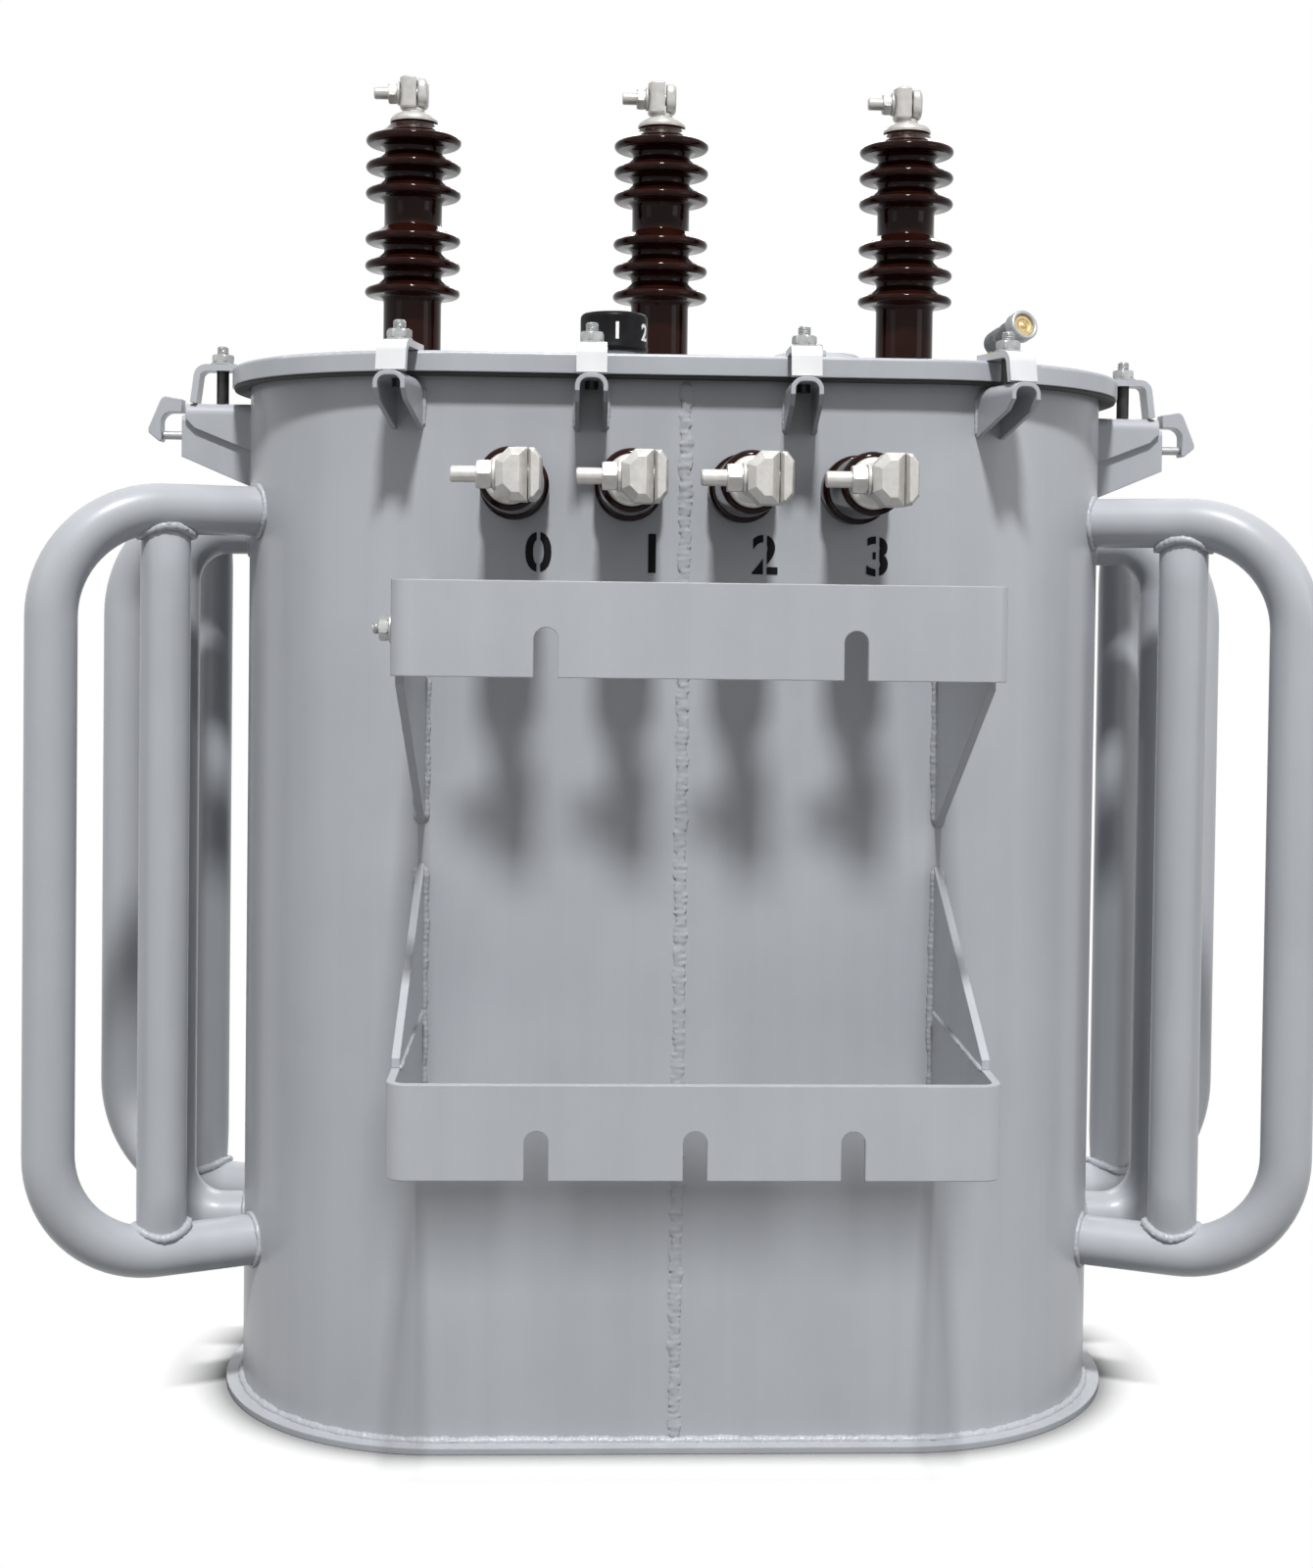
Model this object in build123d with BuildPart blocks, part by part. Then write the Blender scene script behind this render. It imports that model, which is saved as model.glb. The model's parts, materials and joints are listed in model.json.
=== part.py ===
"""Pole-type distribution transformer with an oval tank, tube radiators and pole brackets.

Millimetres. +X right, +Y to the rear, +Z up. The origin is the centre of the base plate's underside,
and the low-voltage side with the pole brackets faces -Y.
"""
import os
from math import cos, pi, radians, sin

from build123d import *

# Oval tank
tank_width = 812.0
tank_depth = 400.0
tank_wall = 4.0
base_thickness = 6.0
base_overhang = 15.5

# Lid, its gasket and the rim it closes on
lid_top = 960.0
lid_thickness = 5.0
lid_overhang = 17.0
lid_skirt_depth = 18.0
lid_skirt_wall = 4.0
lid_edge_radius = 3.0
gasket_thickness = 4.0
rim_thickness = 6.0
rim_clearance = 0.3

# Lid clamps
clamp_row_count = 4
clamp_pitch = 171.0
clamp_shift = 14.0
clamp_aside = 11.5
clamp_bar_width = 26.0
clamp_bar_thickness = 6.0
clamp_bar_bend = 6.0
clamp_reach = 37.0
clamp_lap = 20.0
clamp_splay = 4.0
clamp_bolt_radius = 6.0
clamp_bolt_offset = 12.0
clamp_bolt_rise = 18.0
clamp_nut_width = 19.0
clamp_nut_height = 10.0
clamp_hole_clearance = 0.3

# Inverted channels that the clamps pull on
seat_drop = 22.0
end_seat_drop = 31.0
seat_width = 28.0
seat_sheet = 4.0
seat_front_height = 24.0
seat_wall_height = 45.0
seat_margin = 8.0
seat_bend = 11.0
seat_nip = 9.0

# Lifting lugs under the end clamps, and their hooks
lug_sheet = 5.0
lug_fit = 0.3
lug_shank = 66.0
lug_drop = 51.0
lug_wall_drop = 79.0
lug_bend = 6.0
hook_reach = 98.0
hook_rise = 7.0
hook_root_drop = 3.0
hook_crown = 12.0
hook_crown_radius = 6.0
hook_shoulder = 30.0
hook_tip_drop = 42.0
hook_tip_inset = 11.0
eye_radius = 9.75
eye_drop = 18.0
keeper_thickness = 4.5

# High-voltage bushings
hv_pitch = 250.5
hv_shift = -14.0
hv_inset = 87.0
hv_body_radius = 29.0
hv_foot_radius = 37.0
hv_foot_height = 12.0
hv_tail = 40.0
hv_shed_radius = 47.8
hv_shed_rim = 4.5
hv_shed_rise = 10.0
hv_shed_undercut = 2.0
hv_shed_pitch = 26.5
hv_first_shed = 94.0
hv_group_gap = 46.2
hv_group_count = 2
hv_group_sheds = 3
hv_neck_height = 265.0
hv_neck_radius = 22.0
hv_flange_radius = 52.0
hv_flange_thickness = 8.0
hv_fit = 0.3

# High-voltage terminals
hv_cap_radius = 24.0
hv_cap_height = 8.0
hv_post_radius = 8.0
hv_post_height = 6.0
hv_block_height = 32.0
hv_block_width = 17.0
hv_block_depth = 26.0
hv_block_chamfer = 6.0
hv_plate_gap = 1.5
hv_plate_thickness = 10.0
hv_bolt_radius = 6.0
hv_bolt_length = 26.0
hv_nut_width = 19.0
hv_nut_height = 9.0

# Low-voltage bushings
lv_count = 4
lv_pitch = 99.0
lv_drop = 115.0
lv_skirt_radius = 30.0
lv_skirt_length = 26.0
lv_body_radius = 26.5
lv_body_length = 124.0
lv_tail_radius = 20.0
lv_tail_length = 44.0
lv_round = 6.0
lv_skirt_round = 3.0
lv_fit = 0.3

# Low-voltage terminals
lv_washer_radius = 21.5
lv_washer_length = 7.0
lv_neck_radius = 13.0
lv_neck_length = 22.0
lv_block_width = 25.0
lv_block_shift = 9.0
lv_block_depth = 44.0
lv_block_height = 42.0
lv_block_chamfer = 10.0
lv_edge_chamfer = 4.0
lv_plate_gap = 1.5
lv_plate_thickness = 10.0
lv_bolt_radius = 6.2
lv_bolt_length = 36.0
lv_nut_width = 22.0
lv_nut_height = 11.0

# Tap changer dial
tap_x = -63.0
tap_inset = 80.0
tap_base_radius = 22.0
tap_base_height = 11.0
tap_dial_radius = 31.0
tap_dial_height = 36.0
tap_dial_round = 5.0
tap_shaft_radius = 9.0
tap_shaft_length = 30.0
tap_fit = 0.3

# Hand-hole cover
hand_x = 122.0
hand_inset = 115.0
hand_opening_radius = 42.0
hand_cover_radius = 62.0
hand_cover_height = 17.0
hand_cover_edge = 5.0

# Relief valve
valve_overrun = 81.0
valve_inset = 82.0
valve_stem_radius = 9.0
valve_stem_height = 26.0
valve_stem_tail = 12.0
valve_fit = 0.3
valve_body_radius = 11.5
valve_body_length = 34.0
valve_turn = 24.0
valve_rise = 16.0
valve_cap_radius = 14.0
valve_cap_length = 13.0
valve_cap_recess = 3.0
valve_cap_lip = 3.5

# Pole brackets
bracket_half_width = 230.0
bracket_reach = 291.0
bracket_bar = 6.5
bracket_bend = 14.0
bracket_height = 71.5
upper_bracket_z = 689.5
lower_bracket_z = 316.5
slot_width = 18.0
slot_height = 37.0
upper_slot_spacing = 230.0
lower_slot_spacing = 118.0
gusset_length = 236.0
upper_gusset_height = 139.5
lower_gusset_height = 127.0
gusset_nose = 8.0

# Radiator tubes
tube_radius = 22.9
riser_radius = 22.3
tube_top = 824.0
tube_bottom = 149.0
fan_angle = 24.0
loop_reach = 185.0
riser_reach = 84.0
loop_bend = 98.0
middle_top = 809.0
middle_bottom = 148.0
middle_reach = 72.0
middle_bend = 50.0

# Places worked out from the sizes above
hex_sides = 6
end_radius = tank_depth / 2
end_center = tank_width / 2 - end_radius
front_wall = -tank_depth / 2
tank_top = lid_top - lid_thickness - gasket_thickness
hv_row = -front_wall - hv_inset
lv_height = lid_top - lv_drop
tap_y = front_wall + tap_inset
hand_y = front_wall + hand_inset
valve_x = end_center + valve_overrun
valve_y = front_wall + valve_inset
lid_under = lid_top - lid_thickness
rim_width = lid_overhang - lid_skirt_wall - rim_clearance
clamp_edge = lid_overhang + clamp_reach
clamp_foot = clamp_edge - clamp_bar_thickness
clamp_bolt_reach = lid_overhang + clamp_bolt_offset
clamp_top = lid_top + clamp_bar_thickness
seat_top = lid_top - seat_drop
end_seat_top = lid_top - end_seat_drop
seat_reach = clamp_edge + seat_margin
lug_width = seat_width - 2 * seat_sheet - 2 * lug_fit
lug_top = end_seat_top - seat_bend - lug_fit
lug_root = -seat_margin
hook_top = end_seat_top + hook_rise
eye_reach = lug_shank + eye_radius
eye_height = end_seat_top - eye_drop
keeper_under = eye_height - eye_radius - keeper_thickness
hv_top = lid_top + hv_neck_height
hv_foot_top = lid_top + hv_foot_height
hv_post_base = hv_top + hv_cap_height
hv_post_top = hv_post_base + hv_post_height
hv_bolt_height = hv_post_top + hv_block_height / 2
hv_block_left = -(hv_block_width + hv_plate_gap + hv_plate_thickness) / 2
hv_block_right = hv_block_left + hv_block_width
hv_shed_rim_center = hv_shed_radius - hv_shed_rim
hv_group_span = (hv_group_sheds - 1) * hv_shed_pitch + hv_group_gap
lv_front = front_wall - lv_body_length
lv_washer_front = lv_front - lv_washer_length
lv_neck_front = lv_washer_front - lv_neck_length
lv_block_center = lv_neck_front - lv_block_depth / 2
lv_block_left = lv_block_shift - (lv_block_width + lv_plate_gap + lv_plate_thickness) / 2
lv_block_right = lv_block_left + lv_block_width
bracket_front = front_wall - bracket_reach
gusset_front = front_wall - gusset_length
gusset_root = front_wall / 2
gusset_center = bracket_half_width - bracket_bar / 2
side_names = {-1: "left", 1: "right"}
hv_xs = {"left": hv_shift - hv_pitch, "middle": hv_shift, "right": hv_shift + hv_pitch}
lv_xs = [lv_pitch * (step - (lv_count - 1) / 2) for step in range(lv_count)]

os.makedirs("parts", exist_ok=True)


def save(node, name):
    """Label a finished sub-part and write it as its own STEP file."""
    node.part.label = name
    export_step(node.part, f"parts/{name}.step")


def oval(grow, mode=Mode.ADD):
    """Oval outline of the tank, moved outward by grow."""
    SlotOverall(tank_width + 2 * grow, tank_depth + 2 * grow, mode=mode)


def cut_by_tank():
    """Trim the part being built to the outside of the tank wall."""
    with BuildSketch(Plane.XY) as plan:
        oval(0)
    extrude(plan.sketch, amount=lid_top, mode=Mode.SUBTRACT)


def wall_point(station, side):
    """Point and outward normal on the tank wall; station runs along the wall from mid-width."""
    flat = min(max(station, -end_center), end_center)
    turn = (station - flat) / end_radius
    normal = Vector(sin(turn), side * cos(turn), 0)
    return Vector(flat, 0, 0) + normal * end_radius, normal


def upright(station, side):
    """Upright plane square to the wall: local x runs outward, local y up."""
    point, normal = wall_point(station, side)
    return Plane(origin=point, x_dir=normal, z_dir=normal.cross(Vector(0, 0, 1)))


def facing(station, side):
    """Plane on the wall that looks outward: local x runs along the wall, local y up."""
    point, normal = wall_point(station, side)
    return Plane(origin=point, x_dir=Vector(0, 0, 1).cross(normal), z_dir=normal)


def bolt_points(stations):
    """Plan positions of the clamp bolts at the given wall stations."""
    found = []
    for station, side in stations:
        point, normal = wall_point(station, side)
        found.append((point.X + normal.X * clamp_bolt_reach, point.Y + normal.Y * clamp_bolt_reach))
    return found


def channel(width, top, low, bend, sheet):
    """Section of an inverted channel of folded sheet."""
    with BuildLine() as outline:
        FilletPolyline((-width / 2, low), (-width / 2, top), (width / 2, top), (width / 2, low), radius=bend)
        offset(amount=sheet, side=Side.RIGHT)
    make_face(outline.edges())


# Ten clamps: a row in front, a row behind and one in the middle of each end
end_station = end_center + end_radius * pi / 2
row_middle = (clamp_row_count - 1) / 2
row_spots = [clamp_shift + clamp_pitch * (step - row_middle) for step in range(clamp_row_count)]
row_spots[clamp_row_count // 2 - 1] -= clamp_aside
row_stations = [(spot, side) for side in (-1, 1) for spot in row_spots]
end_stations = [(hand * end_station, -1) for hand in side_names]
clamp_groups = [(row_stations, seat_top), (end_stations, end_seat_top)]


# Tank body
with BuildPart() as base_plate:
    with BuildSketch():
        oval(base_overhang)
    extrude(amount=base_thickness)
save(base_plate, "base_plate")

with BuildPart() as tank_shell:
    with BuildSketch(Plane.XY.offset(base_thickness)):
        oval(0)
        oval(-tank_wall, mode=Mode.SUBTRACT)
    extrude(amount=tank_top - base_thickness)
    with BuildSketch(Plane.XZ.offset(-front_wall)):
        with Locations([(x, lv_height) for x in lv_xs]):
            Circle(lv_tail_radius + lv_fit)
    extrude(amount=-2 * tank_wall, mode=Mode.SUBTRACT)
save(tank_shell, "tank_shell")

with BuildPart() as tank_rim:
    with BuildSketch(Plane.XY.offset(tank_top - rim_thickness)):
        oval(rim_width)
        oval(0, mode=Mode.SUBTRACT)
    extrude(amount=rim_thickness)
save(tank_rim, "tank_rim")

with BuildPart() as lid_gasket:
    with BuildSketch(Plane.XY.offset(tank_top)):
        oval(rim_width)
        oval(-tank_wall, mode=Mode.SUBTRACT)
    extrude(amount=gasket_thickness)
save(lid_gasket, "lid_gasket")

with BuildPart() as lid:
    with BuildSketch(Plane.XY.offset(lid_top - lid_skirt_depth)):
        oval(lid_overhang)
    extrude(amount=lid_skirt_depth)
    fillet(lid.faces().sort_by(Axis.Z)[-1].edges(), lid_edge_radius)
    with BuildSketch(Plane.XY.offset(lid_top - lid_skirt_depth)):
        oval(lid_overhang - lid_skirt_wall)
    extrude(amount=lid_skirt_depth - lid_thickness, mode=Mode.SUBTRACT)
    with BuildSketch(Plane.XY.offset(lid_under)):
        with Locations([(x, hv_row) for x in hv_xs.values()]):
            Circle(hv_body_radius + hv_fit)
        with Locations((tap_x, tap_y)):
            Circle(tap_shaft_radius + tap_fit)
        with Locations((hand_x, hand_y)):
            Circle(hand_opening_radius)
        with Locations((valve_x, valve_y)):
            Circle(valve_stem_radius + valve_fit)
    extrude(amount=lid_thickness, mode=Mode.SUBTRACT)
save(lid, "lid")


# Lid clamps: bent bars, the channels that they pull on and the bolts between
with BuildPart() as lid_clamp_jaws:
    for stations, foot_level in clamp_groups:
        with BuildSketch(*[upright(*station) for station in stations]):
            with BuildLine():
                FilletPolyline(
                    (lid_overhang - clamp_lap, lid_top),
                    (clamp_foot, lid_top),
                    (clamp_foot + clamp_splay, foot_level),
                    radius=clamp_bar_bend,
                )
                offset(amount=clamp_bar_thickness, side=Side.LEFT)
            make_face()
        extrude(amount=clamp_bar_width / 2, both=True)
    with BuildSketch(Plane.XY.offset(lid_top)):
        with Locations(bolt_points(row_stations + end_stations)):
            Circle(clamp_bolt_radius + clamp_hole_clearance)
    extrude(amount=clamp_bar_thickness, mode=Mode.SUBTRACT)
save(lid_clamp_jaws, "lid_clamp_jaws")

with BuildPart() as lid_clamp_seats:
    for stations, level in clamp_groups:
        with BuildSketch(*[facing(*station).offset(-seat_margin) for station in stations]):
            channel(seat_width, level, level - seat_wall_height, seat_bend, seat_sheet)
        extrude(amount=seat_reach + seat_margin)
        with BuildSketch(*[upright(*station) for station in stations]):
            with BuildLine():
                Polyline(
                    (seat_reach, level - seat_front_height + seat_nip),
                    (seat_reach - seat_nip, level - seat_front_height),
                    (0, level - seat_wall_height),
                    (seat_reach, level - seat_wall_height),
                    close=True,
                )
            make_face()
        extrude(amount=seat_width, both=True, mode=Mode.SUBTRACT)
        with BuildSketch(Plane.XY.offset(level - seat_bend)):
            with Locations(bolt_points(stations)):
                Circle(clamp_bolt_radius + clamp_hole_clearance)
        extrude(amount=seat_bend, mode=Mode.SUBTRACT)
    cut_by_tank()
save(lid_clamp_seats, "lid_clamp_seats")

with BuildPart() as lid_clamp_bolts:
    for stations, level in clamp_groups:
        with BuildSketch(Plane.XY.offset(level - seat_bend)):
            with Locations(bolt_points(stations)):
                Circle(clamp_bolt_radius)
        extrude(amount=clamp_top + clamp_bolt_rise - level + seat_bend)
        with BuildSketch(Plane.XY.offset(clamp_top)):
            with Locations(bolt_points(stations)):
                RegularPolygon(clamp_nut_width / 2, hex_sides, major_radius=False)
        extrude(amount=clamp_nut_height)
save(lid_clamp_bolts, "lid_clamp_bolts")


# Lifting lugs: folded channels tucked under the end clamps' channels, with hooks on their outer ends
for hand, name in side_names.items():
    with BuildPart() as lifting_lug:
        with BuildSketch(facing(hand * end_station, -1).offset(lug_root)):
            channel(lug_width, lug_top, end_seat_top - lug_wall_drop, lug_bend, lug_sheet)
        extrude(amount=lug_shank - lug_root)
        with BuildSketch(upright(hand * end_station, -1)):
            with BuildLine():
                Polyline(
                    (lug_shank, end_seat_top - lug_drop),
                    (0, end_seat_top - lug_wall_drop),
                    (lug_shank, end_seat_top - lug_wall_drop),
                    close=True,
                )
            make_face()
        extrude(amount=lug_width, both=True, mode=Mode.SUBTRACT)
        cut_by_tank()
    save(lifting_lug, f"lifting_lug_{name}")

with BuildPart() as lifting_hooks:
    with BuildSketch(*[upright(*station) for station in end_stations]) as hook_side:
        with BuildLine():
            Polyline(
                (lug_shank, keeper_under),
                (lug_shank, hook_top - hook_root_drop),
                (lug_shank + hook_crown, hook_top),
                (hook_reach, hook_top - hook_shoulder),
                (hook_reach, hook_top - hook_shoulder - keeper_thickness),
                (hook_reach - hook_tip_inset, hook_top - hook_tip_drop - keeper_thickness),
                (eye_reach + eye_radius, keeper_under),
                close=True,
            )
        make_face()
        fillet(hook_side.vertices().sort_by_distance((lug_shank + hook_crown, hook_top))[0], hook_crown_radius)
        with Locations((eye_reach, eye_height)):
            Circle(eye_radius, mode=Mode.SUBTRACT)
        with Locations((lug_shank + eye_radius / 2, eye_height)):
            Rectangle(eye_radius, 2 * eye_radius, mode=Mode.SUBTRACT)
    extrude(amount=lug_width / 2, both=True)
save(lifting_hooks, "lifting_hooks")


# High-voltage bushings and terminals on the lid
shed_heights = []
for group in range(hv_group_count):
    for step in range(hv_group_sheds):
        shed_heights.append(lid_top + hv_first_shed + group * hv_group_span + step * hv_shed_pitch)

for name, x in hv_xs.items():
    section = Plane(origin=(x, hv_row, 0), x_dir=(1, 0, 0), z_dir=(0, -1, 0))
    upright_axis = Axis((x, hv_row, 0), (0, 0, 1))
    with BuildPart() as hv_bushing:
        with BuildSketch(section):
            with BuildLine():
                Polyline(
                    (0, lid_under - hv_tail),
                    (hv_body_radius, lid_under - hv_tail),
                    (hv_body_radius, lid_top),
                    (hv_foot_radius, lid_top),
                    (hv_foot_radius, hv_foot_top),
                    (hv_body_radius, hv_foot_top),
                    (hv_body_radius, shed_heights[-1] + hv_shed_rise),
                    (hv_neck_radius, hv_top),
                    (0, hv_top),
                    close=True,
                )
            make_face()
            for height in shed_heights:
                with BuildLine():
                    Polyline(
                        (hv_shed_rim_center, height - hv_shed_rim),
                        (0, height - hv_shed_rim + hv_shed_undercut),
                        (0, height + hv_shed_rise),
                        (hv_body_radius, height + hv_shed_rise),
                        (hv_shed_rim_center, height + hv_shed_rim),
                    )
                    ThreePointArc(
                        (hv_shed_rim_center, height + hv_shed_rim),
                        (hv_shed_radius, height),
                        (hv_shed_rim_center, height - hv_shed_rim),
                    )
                make_face()
        revolve(axis=upright_axis)
    save(hv_bushing, f"hv_bushing_{name}")

    with BuildPart() as hv_terminal:
        with BuildSketch(section):
            with BuildLine():
                Polyline(
                    (0, hv_top),
                    (hv_cap_radius, hv_top),
                    (hv_post_radius, hv_post_base),
                    (hv_post_radius, hv_post_top),
                    (0, hv_post_top),
                    close=True,
                )
            make_face()
        revolve(axis=upright_axis)
        with BuildSketch(Plane.XY.offset(hv_post_top)):
            with Locations((x + hv_block_left + hv_block_width / 2, hv_row)):
                Rectangle(hv_block_width, hv_block_depth)
        extrude(amount=hv_block_height)
        chamfer(hv_terminal.edges().filter_by(Axis.Z).group_by(Axis.X)[0], hv_block_chamfer)
        with BuildSketch(Plane.YZ.offset(x + hv_block_right + hv_plate_gap)):
            with Locations((hv_row, hv_bolt_height)):
                Circle(hv_bolt_radius)
        extrude(amount=-(hv_plate_gap + hv_block_width + hv_bolt_length))
        with BuildSketch(Plane.YZ.offset(x + hv_block_left)):
            with Locations((hv_row, hv_bolt_height)):
                RegularPolygon(hv_nut_width / 2, hex_sides, major_radius=False)
        extrude(amount=-hv_nut_height)
    save(hv_terminal, f"hv_terminal_{name}")

with BuildPart() as hv_flanges:
    with BuildSketch(Plane.XY.offset(lid_top)):
        with Locations([(x, hv_row) for x in hv_xs.values()]):
            Circle(hv_flange_radius)
            Circle(hv_foot_radius + hv_fit, mode=Mode.SUBTRACT)
    extrude(amount=hv_flange_thickness)
save(hv_flanges, "hv_flanges")

with BuildPart() as hv_clamp_plates:
    with BuildSketch(*[Plane.YZ.offset(x + hv_block_right + hv_plate_gap) for x in hv_xs.values()]):
        with Locations((hv_row, hv_bolt_height)):
            RectangleRounded(hv_block_depth, hv_block_height, hv_block_chamfer)
    extrude(amount=hv_plate_thickness)
save(hv_clamp_plates, "hv_clamp_plates")


# Low-voltage bushings and terminals on the front wall
for number, x in enumerate(lv_xs):
    section = Plane(origin=(x, 0, lv_height), x_dir=(1, 0, 0), z_dir=(0, 0, 1))
    level_axis = Axis((x, 0, lv_height), (0, 1, 0))
    with BuildPart() as lv_bushing:
        with BuildSketch(section) as lv_side:
            with BuildLine():
                Polyline(
                    (0, lv_front),
                    (lv_body_radius, lv_front),
                    (lv_body_radius, front_wall - lv_skirt_length),
                    (lv_skirt_radius, front_wall - lv_skirt_length),
                    (lv_skirt_radius, front_wall),
                    (lv_tail_radius, front_wall),
                    (lv_tail_radius, front_wall + lv_tail_length),
                    (0, front_wall + lv_tail_length),
                    close=True,
                )
            make_face()
            fillet(lv_side.vertices().sort_by_distance((lv_body_radius, lv_front))[0], lv_round)
            fillet(
                lv_side.vertices().sort_by_distance((lv_skirt_radius, front_wall - lv_skirt_length))[0],
                lv_skirt_round,
            )
        revolve(axis=level_axis)
    save(lv_bushing, f"lv_bushing_{number}")

    with BuildPart() as lv_terminal:
        with BuildSketch(section):
            with BuildLine():
                Polyline(
                    (0, lv_front),
                    (lv_washer_radius, lv_front),
                    (lv_washer_radius, lv_washer_front),
                    (lv_neck_radius, lv_washer_front),
                    (lv_neck_radius, lv_neck_front),
                    (0, lv_neck_front),
                    close=True,
                )
            make_face()
        revolve(axis=level_axis)
        with BuildSketch(Plane.XY.offset(lv_height - lv_block_height / 2)) as lv_block:
            with Locations((x + lv_block_left + lv_block_width / 2, lv_block_center)):
                Rectangle(lv_block_width, lv_block_depth)
            chamfer(lv_block.vertices().group_by(Axis.X)[0], lv_block_chamfer)
        extrude(amount=lv_block_height)
        block_front = lv_terminal.faces().sort_by(Axis.Y)[0]
        chamfer(block_front.edges().filter_by(Axis.X), lv_edge_chamfer)
        with BuildSketch(Plane.YZ.offset(x + lv_block_right + lv_plate_gap)):
            with Locations((lv_block_center, lv_height)):
                Circle(lv_bolt_radius)
        extrude(amount=-(lv_plate_gap + lv_block_width + lv_bolt_length))
        with BuildSketch(Plane.YZ.offset(x + lv_block_left)):
            with Locations((lv_block_center, lv_height)):
                RegularPolygon(lv_nut_width / 2, hex_sides, major_radius=False)
        extrude(amount=-lv_nut_height)
    save(lv_terminal, f"lv_terminal_{number}")

with BuildPart() as lv_clamp_plates:
    with BuildSketch(*[Plane.YZ.offset(x + lv_block_right + lv_plate_gap) for x in lv_xs]):
        with Locations((lv_block_center, lv_height)):
            RectangleRounded(lv_block_depth, lv_block_height, lv_block_chamfer)
    extrude(amount=lv_plate_thickness)
save(lv_clamp_plates, "lv_clamp_plates")


# Fittings on the lid
with BuildPart() as hand_hole_cover:
    with BuildSketch(Plane.XY.offset(lid_top)):
        with Locations((hand_x, hand_y)):
            Circle(hand_cover_radius)
    extrude(amount=hand_cover_height)
    fillet(hand_hole_cover.faces().sort_by(Axis.Z)[-1].edges(), hand_cover_edge)
save(hand_hole_cover, "hand_hole_cover")

with BuildPart() as tap_changer_base:
    with BuildSketch(Plane.XY.offset(lid_under - tap_shaft_length)):
        with Locations((tap_x, tap_y)):
            Circle(tap_shaft_radius)
    extrude(amount=tap_shaft_length + lid_thickness)
    with BuildSketch(Plane.XY.offset(lid_top)):
        with Locations((tap_x, tap_y)):
            Circle(tap_base_radius)
    extrude(amount=tap_base_height)
save(tap_changer_base, "tap_changer_base")

with BuildPart() as tap_changer_dial:
    with BuildSketch(Plane.XY.offset(lid_top + tap_base_height)):
        with Locations((tap_x, tap_y)):
            Circle(tap_dial_radius)
    extrude(amount=tap_dial_height)
    fillet(tap_changer_dial.faces().sort_by(Axis.Z)[-1].edges(), tap_dial_round)
save(tap_changer_dial, "tap_changer_dial")

valve_out = Vector(
    sin(radians(valve_turn)) * cos(radians(valve_rise)),
    -cos(radians(valve_turn)) * cos(radians(valve_rise)),
    sin(radians(valve_rise)),
)
valve_elbow = Plane(origin=(valve_x, valve_y, lid_top + valve_stem_height), z_dir=valve_out)
valve_mouth = valve_elbow.offset(valve_body_length)

with BuildPart() as relief_valve_body:
    with BuildSketch(Plane.XY.offset(lid_under - valve_stem_tail)):
        with Locations((valve_x, valve_y)):
            Circle(valve_stem_radius)
    extrude(amount=valve_stem_tail + lid_thickness + valve_stem_height)
    with BuildSketch(valve_elbow.offset(-valve_stem_radius)):
        Circle(valve_body_radius)
    extrude(amount=valve_stem_radius + valve_body_length)
save(relief_valve_body, "relief_valve_body")

with BuildPart() as relief_valve_cap:
    with BuildSketch(valve_mouth):
        Circle(valve_cap_radius)
    extrude(amount=valve_cap_length)
    with BuildSketch(valve_mouth.offset(valve_cap_length - valve_cap_recess)):
        Circle(valve_cap_radius - valve_cap_lip)
    extrude(amount=valve_cap_recess, mode=Mode.SUBTRACT)
save(relief_valve_cap, "relief_valve_cap")


# Pole brackets: bent straps with slots open below, and the gussets that stiffen them
def strap(level, slot_xs):
    """One strap bent round from wall to wall, with bolt slots cut up from its lower edge."""
    with BuildSketch(Plane.XY.offset(level)) as strip:
        with BuildLine():
            FilletPolyline(
                (-bracket_half_width, gusset_root),
                (-bracket_half_width, bracket_front),
                (bracket_half_width, bracket_front),
                (bracket_half_width, gusset_root),
                radius=bracket_bend,
            )
            offset(amount=bracket_bar, side=Side.LEFT)
        make_face()
    extrude(strip.sketch, amount=bracket_height)
    slot_round = slot_width / 2
    with BuildSketch(Plane.XZ.offset(-bracket_front)) as slots:
        with Locations([(x, level + slot_height - slot_round) for x in slot_xs]):
            Circle(slot_round)
        with Locations([(x, level + (slot_height - slot_round) / 2) for x in slot_xs]):
            Rectangle(slot_width, slot_height - slot_round)
    extrude(slots.sketch, amount=-bracket_bar, mode=Mode.SUBTRACT)
    cut_by_tank()


def gussets(edge, wall_rise, nose_rise):
    """Two tapered plates along the strap's sides, from its edge at the given level."""
    with BuildSketch(*[Plane.YZ.offset(hand * gusset_center) for hand in side_names]) as plates:
        with BuildLine():
            Polyline(
                (gusset_root, edge),
                (gusset_front, edge),
                (gusset_front, edge + nose_rise),
                (front_wall, edge + wall_rise),
                (gusset_root, edge + wall_rise),
                close=True,
            )
        make_face()
    extrude(plates.sketch, amount=bracket_bar / 2, both=True)
    cut_by_tank()


with BuildPart() as pole_bracket_upper:
    strap(upper_bracket_z, (-upper_slot_spacing / 2, upper_slot_spacing / 2))
save(pole_bracket_upper, "pole_bracket_upper")

with BuildPart() as pole_bracket_lower:
    strap(lower_bracket_z, (-lower_slot_spacing, 0, lower_slot_spacing))
save(pole_bracket_lower, "pole_bracket_lower")

with BuildPart() as upper_gussets:
    gussets(upper_bracket_z, -upper_gusset_height, -gusset_nose)
save(upper_gussets, "upper_gussets")

with BuildPart() as lower_gussets:
    gussets(lower_bracket_z + bracket_height, lower_gusset_height, gusset_nose)
save(lower_gussets, "lower_gussets")


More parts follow.
